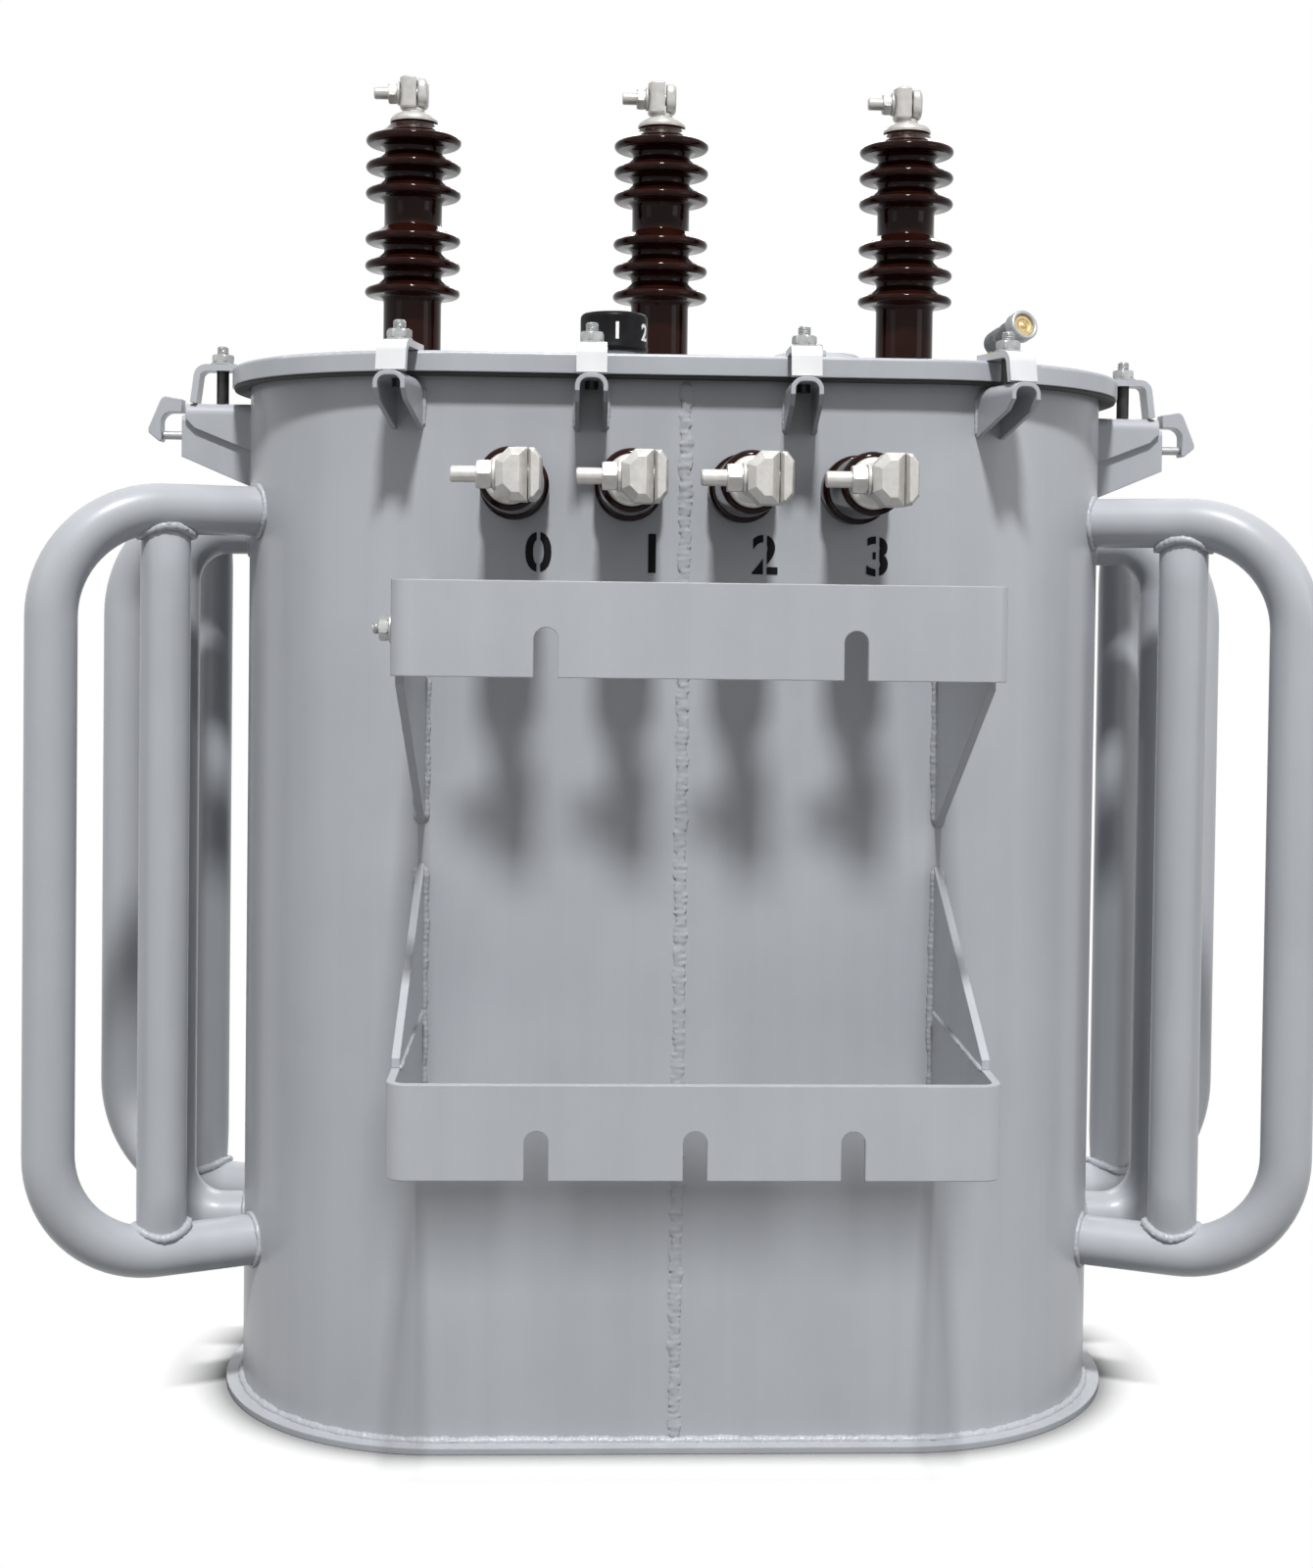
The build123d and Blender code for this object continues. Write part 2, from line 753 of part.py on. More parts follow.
# Radiator tubes: loops fanned out from the tank ends, two of them with a riser welded across
def loop(station, side, reach, bend, top, bottom):
    """One tube bent into a loop that leaves and rejoins the tank wall."""
    frame = upright(station, side)
    with BuildLine(frame) as route:
        FilletPolyline((-tube_radius, top), (reach, top), (reach, bottom), (-tube_radius, bottom), radius=bend)
    with BuildSketch(Plane(frame.from_local_coords((-tube_radius, top, 0)), z_dir=frame.x_dir)) as bore:
        Circle(tube_radius)
    sweep(bore.sketch, path=route.line)
    cut_by_tank()


fan_step = end_radius * radians(fan_angle)
for hand, name in side_names.items():
    with BuildPart() as middle_loop:
        loop(hand * end_station, -1, middle_reach, middle_bend, middle_top, middle_bottom)
    save(middle_loop, f"radiator_{name}_middle_loop")

    station = hand * (end_station - fan_step)
    with BuildPart() as front_loop:
        loop(station, -1, loop_reach, loop_bend, tube_top, tube_bottom)
    save(front_loop, f"radiator_{name}_front_loop")

    with BuildPart() as rear_loop:
        loop(station, 1, loop_reach, loop_bend, tube_top, tube_bottom)
    save(rear_loop, f"radiator_{name}_rear_loop")

    riser_spots = []
    for side in (-1, 1):
        point, normal = wall_point(station, side)
        riser_spots.append((point.X + normal.X * riser_reach, point.Y + normal.Y * riser_reach))
    with BuildPart() as risers:
        with BuildSketch(Plane.XY.offset(tube_bottom)):
            with Locations(riser_spots):
                Circle(riser_radius)
        extrude(amount=tube_top - tube_bottom)
        add(front_loop.part, mode=Mode.SUBTRACT)
        add(rear_loop.part, mode=Mode.SUBTRACT)
    save(risers, f"radiator_{name}_risers")
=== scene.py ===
"""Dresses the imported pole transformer: porcelain, castings, threads, welds, tubes, finishes and a studio."""

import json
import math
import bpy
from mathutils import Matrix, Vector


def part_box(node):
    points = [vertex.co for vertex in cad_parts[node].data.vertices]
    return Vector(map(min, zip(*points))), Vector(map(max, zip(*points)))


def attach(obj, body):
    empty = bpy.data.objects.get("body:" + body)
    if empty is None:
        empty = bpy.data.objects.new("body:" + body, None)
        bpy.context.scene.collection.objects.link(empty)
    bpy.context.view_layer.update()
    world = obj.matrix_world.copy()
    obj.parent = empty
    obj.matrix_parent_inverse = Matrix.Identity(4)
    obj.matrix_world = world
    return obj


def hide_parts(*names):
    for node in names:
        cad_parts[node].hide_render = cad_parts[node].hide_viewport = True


bl_info = {
    "name": "Pole transformer",
    "version": (1, 0, 0),
    "blender": (4, 5, 0),
    "location": "3D View > Sidebar > Transformer",
    "description": "Welds, porcelain, terminals, bolts, radiator tubes and finishes for the packed transformer",
    "category": "Add Mesh",
}

import bmesh
import bpy
import numpy as np
from bpy.props import FloatProperty, FloatVectorProperty, IntProperty, PointerProperty
from mathutils import Matrix

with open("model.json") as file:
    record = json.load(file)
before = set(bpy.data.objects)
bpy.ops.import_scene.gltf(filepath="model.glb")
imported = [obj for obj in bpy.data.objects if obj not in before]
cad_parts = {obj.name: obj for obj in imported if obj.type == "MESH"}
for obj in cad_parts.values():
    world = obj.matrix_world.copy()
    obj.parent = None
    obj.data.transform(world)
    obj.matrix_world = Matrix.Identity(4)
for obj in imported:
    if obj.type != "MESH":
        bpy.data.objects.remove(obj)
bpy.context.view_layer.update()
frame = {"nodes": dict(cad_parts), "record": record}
BODY = "root"
UP = np.array([0.0, 0.0, 1.0])
RIGHT = np.array([1.0, 0.0, 0.0])
BACK = np.array([0.0, 1.0, 0.0])
PICTURE_WIDE, PICTURE_TALL = 1340, 1600


def node_box(name):
    """Lowest corner, highest corner and middle of a CAD node, as arrays in metres."""
    low, high = (np.array(corner, float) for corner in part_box(name))
    return low, high, (low + high) / 2


TANK_LOW, TANK_HIGH, _ = node_box("tank_shell")
END_RADIUS = TANK_HIGH[1]
END_CENTER = TANK_HIGH[0] - TANK_HIGH[1]
END_STATION = END_CENTER + END_RADIUS * math.pi / 2
FRONT = TANK_LOW[1]
LID_TOP = node_box("lid")[1][2]
BASE_REACH, BASE_TOP = node_box("base_plate")[1][1:]
HV_NAMES = ("left", "middle", "right")
LV_NAMES = ("0", "1", "2", "3")
SIDES = {"left": -1, "right": 1}
SLOT_OF = {
    "paint": "grey_paint", "weld": "grey_paint", "porcelain": "porcelain", "tin": "tinned_metal",
    "alloy": "tinned_metal", "zinc": "zinc_plated_steel", "shank": "zinc_plated_steel", "rubber": "gasket_rubber",
    "dial": "dial_plastic", "white": "dial_plastic", "marks": "dial_plastic", "valve": "valve_metal",
    "brass": "valve_brass",
}


def length(label, text, value):
    """A length in metres for a sidebar setting."""
    return FloatProperty(name=label, description=text, default=value, unit="LENGTH", precision=4)


def share(label, text, value):
    """A share from 0 to 1 for a sidebar setting."""
    return FloatProperty(name=label, description=text, default=value, min=0.0, max=1.0, subtype="FACTOR")


def colour(label, text, value):
    """A linear colour for a sidebar setting."""
    return FloatVectorProperty(name=label, description=text, default=value, size=3, min=0.0, max=1.0, subtype="COLOR")


def degrees(label, text, value):
    """An angle for a sidebar setting, given in degrees."""
    return FloatProperty(name=label, description=text, default=math.radians(value), subtype="ANGLE")


def measure(label, text, value, unit_="NONE"):
    """A plain number or a power for a sidebar setting."""
    return FloatProperty(name=label, description=text, default=value, unit=unit_)


class TransformerClamps(bpy.types.PropertyGroup):
    """Sizes of the lid clamps and their bolts."""

    row_count: IntProperty(name="Clamps in a row", description="Clamps along the front and along the back", default=4)
    pitch: length("Clamp pitch", "Distance between clamps in a row", 0.171)
    shift: length("Row shift", "How far a row is moved to the right of the middle", 0.014)
    aside: length("Set aside", "How far the clamp left of the middle stands further left", 0.0115)
    bolt_reach: length("Bolt reach", "Distance of the bolt's axis from the tank wall", 0.029)
    bar: length("Bar thickness", "Thickness of the bent clamp bar", 0.006)
    bolt_radius: length("Bolt radius", "Radius of the clamp bolt", 0.006)
    bolt_rise: length("Bolt rise", "Height of the bolt's end over the clamp bar", 0.018)
    nut_width: length("Nut width", "Width of the nut over its flats", 0.019)
    nut_height: length("Nut height", "Height of the nut", 0.01)
    seat_drop: length("Seat drop", "Depth of the row channels under the lid's top", 0.022)
    end_seat_drop: length("End seat drop", "Depth of the end channels under the lid's top", 0.031)
    seat_bend: length("Seat bend", "Bend radius of the channels", 0.011)


class TransformerBushings(bpy.types.PropertyGroup):
    """Sizes of the porcelain bushings."""

    body: length("Body radius", "Radius of the high-voltage porcelain between sheds", 0.029)
    shed: length("Shed radius", "Radius of the high-voltage sheds", 0.0478)
    rim: length("Shed rim", "Radius of the rounded rim of a shed", 0.0045)
    shed_pitch: length("Shed pitch", "Distance between sheds of one group", 0.0265)
    first_shed: length("First shed", "Height of the lowest shed over the lid", 0.094)
    group_gap: length("Group gap", "Distance between the two groups of sheds", 0.0462)
    top: length("Porcelain top", "Height of the high-voltage porcelain over the lid", 0.265)
    neck: length("Neck radius", "Radius of the high-voltage porcelain at its top", 0.022)
    skirt: length("Skirt radius", "Radius of the low-voltage porcelain at the wall", 0.03)
    skirt_length: length("Skirt length", "Length of the wide part of the low-voltage porcelain", 0.026)
    front: length("Front radius", "Radius of the low-voltage porcelain at its front", 0.0265)


class TransformerTubes(bpy.types.PropertyGroup):
    """Sizes of the radiator tubes."""

    radius: length("Tube radius", "Outside radius of the loops", 0.0229)
    riser: length("Riser radius", "Outside radius of the risers", 0.0223)
    pinch: length("Riser pinch", "How far the risers' ends are pressed flat to sit on the legs", 0.0048)
    top: length("Top leg", "Height of the upper legs", 0.824)
    bottom: length("Bottom leg", "Height of the lower legs", 0.149)
    fan: degrees("Fan angle", "Angle of the outer loops to the tank's length", 24.0)
    reach: length("Loop reach", "Distance of the outer tube from the wall", 0.185)
    riser_reach: length("Riser reach", "Distance of the riser from the wall", 0.084)
    bend: length("Loop bend", "Bend radius of the loops", 0.098)
    middle_top: length("Middle top leg", "Height of the middle loop's upper leg", 0.809)
    middle_bottom: length("Middle bottom leg", "Height of the middle loop's lower leg", 0.148)
    middle_reach: length("Middle reach", "Distance of the middle tube from the wall", 0.072)
    middle_bend: length("Middle bend", "Bend radius of the middle loops", 0.05)


class TransformerFinish(bpy.types.PropertyGroup):
    """Colours and gloss of the surfaces."""

    paint: colour("Paint", "Grey enamel of the tank, lid, brackets and tubes", (0.395, 0.412, 0.44))
    paint_gloss: share("Paint roughness", "Roughness of the enamel", 0.36)
    porcelain: colour("Porcelain", "Brown glaze of the bushings", (0.0135, 0.0034, 0.0022))
    tin: colour("Tin", "Plated castings of the terminals", (0.63, 0.615, 0.585))
    zinc: colour("Zinc", "Plated nuts and bolts", (0.43, 0.44, 0.44))
    brass: colour("Brass", "Mouth of the relief valve", (0.62, 0.46, 0.23))
    marks: colour("Marks", "Stencilled numerals", (0.006, 0.006, 0.007))


class TransformerView(bpy.types.PropertyGroup):
    """The camera's place and the studio."""

    place: FloatVectorProperty(name="Camera place", description="Position of the camera", size=3, unit="LENGTH",
                               default=(-0.08692, -2.05901, 0.75026))
    yaw: degrees("Yaw", "Turn of the view to the right", 2.4554)
    pitch: degrees("Pitch", "Tilt of the view downwards", 1.3361)
    roll: degrees("Roll", "Clockwise turn of the picture", 0.7244)
    focal: measure("Focal length", "Focal length over the picture's height", 2171.53 / PICTURE_TALL)
    middle: FloatVectorProperty(name="View middle", description="Optical middle of the picture, as shares of its size",
                                size=2, default=(689.0 / PICTURE_WIDE, 659.73 / PICTURE_TALL))
    sky: measure("Room light", "Strength of the soft light from above", 0.62)
    key: measure("Key light", "Power of the lamp above the front", 1340.0, "POWER")
    fill: measure("Fill light", "Power of the right lamp, of which the left and rear lamps take shares", 13.0, "POWER")


# Shapes: a solid is a closed patch of points, quads and triangles

def unit(vector):
    """Vector of length one."""
    vector = np.asarray(vector, float)
    return vector / np.linalg.norm(vector)


def square_to(axis):
    """The axis and two directions square to it, right-handed."""
    axis = unit(axis)
    across = unit(np.cross(UP if abs(axis[2]) < 0.9 else RIGHT, axis))
    return axis, across, np.cross(axis, across)


def skin(rings, closed=False):
    """Quads between neighbouring rings of points; open runs end in fans to the middle of the end rings."""
    count, around, _ = rings.shape
    i = np.arange(count if closed else count - 1)[:, None]
    j = np.arange(around)[None, :]
    i2 = (i + 1) % count
    j2 = (j + 1) % around
    quads = np.stack(np.broadcast_arrays(i * around + j, i * around + j2, i2 * around + j2, i2 * around + j), -1)
    quads = quads.reshape(-1, 4)
    points = rings.reshape(-1, 3)
    triangles = np.zeros((0, 3), int)
    if not closed:
        ring = np.arange(around)
        turned_ring = (ring + 1) % around
        first = np.full(around, count * around)
        last = (count - 1) * around
        points = np.vstack([points, rings[0].mean(0), rings[-1].mean(0)])
        triangles = np.vstack([
            np.stack([turned_ring, ring, first], -1),
            np.stack([last + ring, last + turned_ring, first + 1], -1),
        ])
    return outward(points, quads, triangles)


def outward(points, quads, triangles):
    """Turns all faces of a closed patch outwards, by the sign of its volume."""
    halves = np.vstack([quads[:, [0, 1, 2]], quads[:, [0, 2, 3]], triangles])
    a, b, c = (points[halves[:, k]] for k in range(3))
    if np.einsum("ij,ij->i", a, np.cross(b, c)).sum() < 0:
        return points, quads[:, ::-1], triangles[:, ::-1]
    return points, quads, triangles


def circle(axis, count, turn=0.0):
    """Unit axis, the angles a_j all round it, and the directions cos(a_j + turn) across + sin(a_j + turn) along."""
    axis, across, along = square_to(axis)
    angle = np.linspace(0, 2 * np.pi, count, endpoint=False)
    return axis, angle, np.cos(angle + turn)[:, None] * across + np.sin(angle + turn)[:, None] * along


def turned(profile, base, axis, segments):
    """Solid of revolution of (r, h) rows: point(i, j) = base + h_i axis + r_i (cos a_j across + sin a_j along)."""
    radius, height = np.vstack(profile).T[:, :, None, None]
    axis, _, ring = circle(axis, segments)
    return skin(base + height * axis + radius * ring)


def disc(base, axis, radius, height, rim, edge, segments):
    """Washer or rod: a turned cylinder whose ends narrow by rim over the length edge."""
    return turned([[radius - rim, 0.0], [radius, edge], [radius, height - edge], [radius - rim, height]],
                  base, axis, segments)


def hexagon(base, axis, width, height, hole, turn):
    """Nut: the radius is width / (2 cos fold(a)) with fold the angle to the nearest flat, cut by a crown cone."""
    axis, angle, ring = circle(axis, 48, turn)
    fold = (angle + np.pi / 6) % (np.pi / 3) - np.pi / 6
    low = 0.09 * height * np.array([0.0, 0.0, 0.4, 2.2])
    cone = np.array([hole, 0.485 * width, 0.515 * width, width])
    levels = np.concatenate([low, height - low[::-1]])
    radius = np.minimum(width / 2 / np.cos(fold), np.concatenate([cone, cone[::-1]])[:, None])
    return skin(base + levels[:, None, None] * axis + radius[:, :, None] * ring)


def threaded(base, axis, radius, rise, pitch=0.00175):
    """Bolt end: r(a, h) = radius - depth |2 frac(h / pitch - a / 2 pi) - 1|, tapered over the tip."""
    tip = 0.0012
    axis, angle, ring = circle(axis, 24)
    height = np.linspace(0, rise, max(8, int(4 * rise / pitch)))
    wave = np.abs(2 * ((height[:, None] / pitch - angle / (2 * np.pi)) % 1.0) - 1)
    taper = np.clip((rise - height) / tip, 0, 1)[:, None]
    grown = radius - 0.55 * pitch * wave - 0.9 * tip * (1 - taper)
    return skin(base + height[:, None, None] * axis + grown[:, :, None] * ring)


def tube(path, radius, normal, segments=20, closed=False, flat=1.0):
    """Profile along a path: point(i, j) = path_i + r_i (cos a_j normal_i + flat sin a_j side_i)."""
    path = np.asarray(path, float)
    radius = np.asarray(radius, float)
    radius = np.broadcast_to(radius if radius.ndim == 2 else radius[..., None], (len(path), segments))
    ahead = np.roll(path, -1, 0) - np.roll(path, 1, 0) if closed else np.gradient(path, axis=0)
    ahead = ahead / np.linalg.norm(ahead, axis=1, keepdims=True)
    normal = np.broadcast_to(np.asarray(normal, float), path.shape)
    side = np.cross(ahead, normal)
    side = side / np.linalg.norm(side, axis=1, keepdims=True)
    normal = np.cross(side, ahead)
    angle = np.linspace(0, 2 * np.pi, segments, endpoint=False)
    rings = (path[:, None] + radius[:, :, None] * (np.cos(angle)[None, :, None] * normal[:, None]
             + flat * np.sin(angle)[None, :, None] * side[:, None]))
    return skin(rings, closed)


def inset(outline, amount):
    """Convex outline moved inward: each corner goes amount (n1 + n2) / (1 + n1.n2) along its sides' normals."""
    ahead = np.roll(outline, -1, 0) - outline
    ahead = ahead / np.linalg.norm(ahead, axis=1, keepdims=True)
    normal = np.stack([-ahead[:, 1], ahead[:, 0]], -1)
    before = np.roll(normal, 1, 0)
    return outline + amount * (normal + before) / (1 + (normal * before).sum(1, keepdims=True))


def prism(outline, base, across, along, levels, insets):
    """Outline carried along its normal, moved inward by inset_k at level_k; faceted ends."""
    outline = np.asarray(outline, float)
    across, along = unit(across), unit(along)
    axis = np.cross(across, along)
    flat_rings = np.stack([inset(outline, amount) for amount in insets])
    rings = base + flat_rings[..., :1] * across + flat_rings[..., 1:] * along
    return skin(rings + np.asarray(levels)[:, None, None] * axis)


def rounded(width, height, radius, steps=6):
    """Outline of a rectangle with round corners, counter-clockwise."""
    angle = np.linspace(0, np.pi / 2, steps)
    corner = radius * np.stack([np.cos(angle), np.sin(angle)], -1)
    spin = np.array([[0, 1], [-1, 0]])
    hub = np.array([[1, 1], [-1, 1], [-1, -1], [1, -1]]) * (np.array([width, height]) / 2 - radius)
    return np.vstack([hub[k] + corner @ np.linalg.matrix_power(spin, k) for k in range(4)])


def bend(start, control, end, steps=8):
    """Quadratic curve (1-t)^2 start + 2 t (1-t) control + t^2 end."""
    t = np.linspace(0, 1, steps)[:, None]
    start, control, end = (np.asarray(p, float) for p in (start, control, end))
    return (1 - t) ** 2 * start + 2 * t * (1 - t) * control + t ** 2 * end


def arc(center, radius, first, last, steps=10):
    """Circle points center + radius (cos a, sin a) from the first to the last angle in degrees."""
    angle = np.radians(np.linspace(first, last, steps))
    return np.asarray(center) + radius * np.stack([np.cos(angle), np.sin(angle)], -1)


def wall_point(station, side):
    """Point and outward normal on the tank wall; station runs along the wall from mid-width."""
    flat = min(max(station, -END_CENTER), END_CENTER)
    turn = (station - flat) / END_RADIUS
    normal = np.array([math.sin(turn), side * math.cos(turn), 0.0])
    return np.array([flat, 0.0, 0.0]) + END_RADIUS * normal, normal


BEAD_SIDES = 10
RIPPLE, SWELL, LUMP = 0.005, 0.009, 0.0032


def bead(path, radius, normal, seed, closed=False, flat=1.0, rough=0.2, lumpy=0.16):
    """Weld bead: a tube of radius r (1 + 0.06 sin(2 pi s / ripple) + rough swell(s) + lumpy lump(s, a)).

    The swell is drawn at random along the run s, and the lump along the run and at every side a.
    """
    path = np.asarray(path, float)
    steps = np.linalg.norm(np.diff(path, axis=0), axis=1)
    run = np.concatenate([[0], np.cumsum(steps)])
    share_run = run / run[-1]
    draw = np.random.default_rng(seed)
    knots = draw.uniform(-1, 1, max(4, int(run[-1] / SWELL)))
    knots[-1] = knots[0]
    marks = np.linspace(0, 1, len(knots))
    swell = np.interp(share_run, marks, knots)
    lumps = draw.uniform(-1, 1, (max(5, int(run[-1] / LUMP)), BEAD_SIDES))
    lumps[-1] = lumps[0]
    spot = share_run * (len(lumps) - 1)
    under = np.minimum(spot.astype(int), len(lumps) - 2)
    over = (spot - under)[:, None]
    lump = lumps[under] * (1 - over) + lumps[under + 1] * over
    size = radius * (1 + (0.06 * np.sin(2 * np.pi * run / RIPPLE) + rough * swell)[:, None] + lumpy * lump)
    if not closed:
        drift = np.interp(share_run, marks, np.roll(knots, len(knots) // 2))
        path = path + 0.16 * radius * drift[:, None] * unit(np.broadcast_to(normal, path.shape)[0])
        size = size * np.clip(np.minimum(run, run[-1] - run) / radius + 0.15, 0, 1)[:, None]
    return tube(path, size, normal, BEAD_SIDES, closed, flat)


def along_line(start, end, step=0.0014):
    """Even points from start to end."""
    start, end = np.asarray(start, float), np.asarray(end, float)
    count = max(6, int(np.linalg.norm(end - start) / step))
    return start + np.linspace(0, 1, count)[:, None] * (end - start)


FINISHES = {}


def place(name, patches, kind, sharp, replaces=(), slot=None):
    """One mesh object from closed patches in one finish, riding on the transformer's body."""
    points, faces, offset = [], [], 0
    for patch_points, quads, triangles in patches:
        points.append(patch_points)
        faces += (quads + offset).tolist()
        faces += [[int(k) + offset for k in face] for face in triangles]
        offset += len(patch_points)
    mesh = bpy.data.meshes.new(name)
    mesh.from_pydata(np.vstack(points), [], faces)
    shape = bmesh.new()
    shape.from_mesh(mesh)
    bmesh.ops.recalc_face_normals(shape, faces=shape.faces)
    shape.to_mesh(mesh)
    shape.free()
    mesh.polygons.foreach_set("use_smooth", np.ones(len(mesh.polygons), bool))
    mesh.set_sharp_from_angle(angle=math.radians(sharp))
    mesh.update()
    return adopt(name, mesh, kind, replaces)


def adopt(name, mesh, kind, replaces=()):
    """Object for a finished mesh, with its finish, body and the CAD nodes that it stands for."""
    made = bpy.data.objects.new(name, mesh)
    mesh.materials.clear()
    mesh.materials.append(FINISHES[kind])
    bpy.context.scene.collection.objects.link(made)
    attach(made, BODY)
    if replaces:
        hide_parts(*replaces)
    return made


# Finishes

def node(tree, kind, inputs=None, **attributes):
    """A shader node with its attributes set and its inputs linked or given a value."""
    made = tree.nodes.new(kind)
    for key, value in attributes.items():
        setattr(made, key, value)
    for key, value in (inputs or {}).items():
        if isinstance(value, bpy.types.NodeSocket):
            tree.links.new(value, made.inputs[key])
        else:
            made.inputs[key].default_value = value
    return made


def bare_tree(owner):
    """The emptied node tree of a material or world."""
    owner.use_nodes = True
    owner.node_tree.nodes.clear()
    return owner.node_tree


def group(name, inputs, outputs):
    """An empty shader group with named float and colour sockets, and its two end nodes."""
    tree = bpy.data.node_groups.new(name, "ShaderNodeTree")
    for socket, value in inputs.items():
        kind = "NodeSocketFloat" if isinstance(value, float) else "NodeSocketColor"
        made = tree.interface.new_socket(name=socket, in_out="INPUT", socket_type=kind)
        made.default_value = value
    for socket, kind in outputs.items():
        tree.interface.new_socket(name=socket, in_out="OUTPUT", socket_type=kind)
    return tree, tree.nodes.new("NodeGroupInput"), tree.nodes.new("NodeGroupOutput")


def spread(tree, value, low, high, out_low=0.0, out_high=1.0):
    """A value taken from one range to another, clamped."""
    return node(tree, "ShaderNodeMapRange", {"Value": value, "From Min": low, "From Max": high, "To Min": out_low,
                                             "To Max": out_high}).outputs["Result"]


def blend(tree, factor, first, second):
    """Two colours mixed by a factor."""
    return node(tree, "ShaderNodeMix", {0: factor, 6: first, 7: second}, data_type="RGBA").outputs[2]


def maths(tree, kind, first, second=0.0):
    """One arithmetic step."""
    return node(tree, "ShaderNodeMath", {0: first, 1: second}, operation=kind).outputs[0]


def object_point(tree):
    """Object coordinates of the surface."""
    return node(tree, "ShaderNodeTexCoord").outputs["Object"]


def one_axis(tree, vector, axis):
    """One coordinate of a vector."""
    return node(tree, "ShaderNodeSeparateXYZ", {0: vector}).outputs[axis]


def noise(tree, where, scale, detail, rough=0.5):
    """Value of a noise pattern."""
    return node(tree, "ShaderNodeTexNoise", {"Vector": where, "Scale": scale, "Detail": detail,
                                             "Roughness": rough}).outputs["Fac"]


GROUP_OUTPUTS = {"Colour": "NodeSocketColor", "Roughness": "NodeSocketFloat", "Height": "NodeSocketFloat"}


def sprayed_coat():
    """Enamel: slow mottle, faint runs, dust on what faces up, and orange-peel height."""
    tree, start, end = group(
        "Sprayed coat",
        {"Colour": (0.4, 0.4, 0.4, 1.0), "Mottle": 0.05, "Dust": 0.15, "Roughness": 0.35, "Grain": 520.0},
        GROUP_OUTPUTS)
    given, where = start.outputs, object_point(tree)
    cloud = noise(tree, where, 5.0, 5.0, 0.62)
    tall = node(tree, "ShaderNodeMapping", {"Vector": where, "Scale": (34.0, 34.0, 1.6)}).outputs[0]
    mottle = maths(tree, "ADD", spread(tree, cloud, 0.3, 0.7, -1.0, 1.0),
                   spread(tree, noise(tree, tall, 1.0, 3.0), 0.35, 0.65, -0.5, 0.5))
    gain = maths(tree, "ADD", maths(tree, "MULTIPLY", mottle, given["Mottle"]), 1.0)
    toned = node(tree, "ShaderNodeVectorMath", {0: given["Colour"], "Scale": gain}, operation="SCALE").outputs[0]
    facing = one_axis(tree, node(tree, "ShaderNodeNewGeometry").outputs["Normal"], "Z")
    lying = maths(tree, "MULTIPLY", spread(tree, facing, 0.55, 0.95),
                  spread(tree, noise(tree, where, 60.0, 6.0, 0.7), 0.38, 0.66))
    dust = maths(tree, "MULTIPLY", lying, given["Dust"])
    rough = maths(tree, "ADD", given["Roughness"], spread(tree, cloud, 0.3, 0.7, -0.04, 0.05))
    tree.links.new(blend(tree, dust, toned, (0.36, 0.35, 0.33, 1.0)), end.inputs["Colour"])
    tree.links.new(noise(tree, where, given["Grain"], 2.0), end.inputs["Height"])
    tree.links.new(maths(tree, "ADD", rough, maths(tree, "MULTIPLY", dust, 0.5)), end.inputs["Roughness"])
    return tree


def cast_skin():
    """Metal or glaze: blotches between two colours, roughness that follows them, and a grainy height."""
    tree, start, end = group(
        "Cast skin",
        {"Light": (0.7, 0.7, 0.7, 1.0), "Dark": (0.4, 0.4, 0.4, 1.0), "Blotch scale": 90.0, "Grain scale": 900.0,
         "Roughness": 0.4, "Spread": 0.1}, GROUP_OUTPUTS)
    given, where = start.outputs, object_point(tree)
    mask = spread(tree, noise(tree, where, given["Blotch scale"], 6.0, 0.66), 0.34, 0.66)
    wander = maths(tree, "MULTIPLY", maths(tree, "SUBTRACT", mask, 0.5), given["Spread"])
    tree.links.new(blend(tree, mask, given["Dark"], given["Light"]), end.inputs["Colour"])
    tree.links.new(noise(tree, where, given["Grain scale"], 4.0), end.inputs["Height"])
    tree.links.new(maths(tree, "ADD", given["Roughness"], wander), end.inputs["Roughness"])
    return tree


def finish(name, tree_group, values, bump, depth, sockets, worn_edge=0.0):
    """Material: a Principled surface with colour, roughness and bump from a shared group."""
    made = bpy.data.materials.new(name)
    tree = bare_tree(made)
    source = node(tree, "ShaderNodeGroup", node_tree=tree_group)
    for key, value in values.items():
        source.inputs[key].default_value = value
    relief = node(tree, "ShaderNodeBump", {"Height": source.outputs["Height"], "Strength": bump, "Distance": depth})
    if worn_edge:
        soft = node(tree, "ShaderNodeBevel", {"Radius": worn_edge}, samples=6)
        tree.links.new(soft.outputs[0], relief.inputs["Normal"])
    surface = node(tree, "ShaderNodeBsdfPrincipled", {
        "Base Color": source.outputs["Colour"], "Roughness": source.outputs["Roughness"],
        "Normal": relief.outputs["Normal"], **sockets})
    node(tree, "ShaderNodeOutputMaterial", {"Surface": surface.outputs[0]})
    return made


def opaque(rgb, gain=1.0):
    """A colour with full alpha, made lighter or darker."""
    return tuple(gain * channel for channel in rgb) + (1.0,)


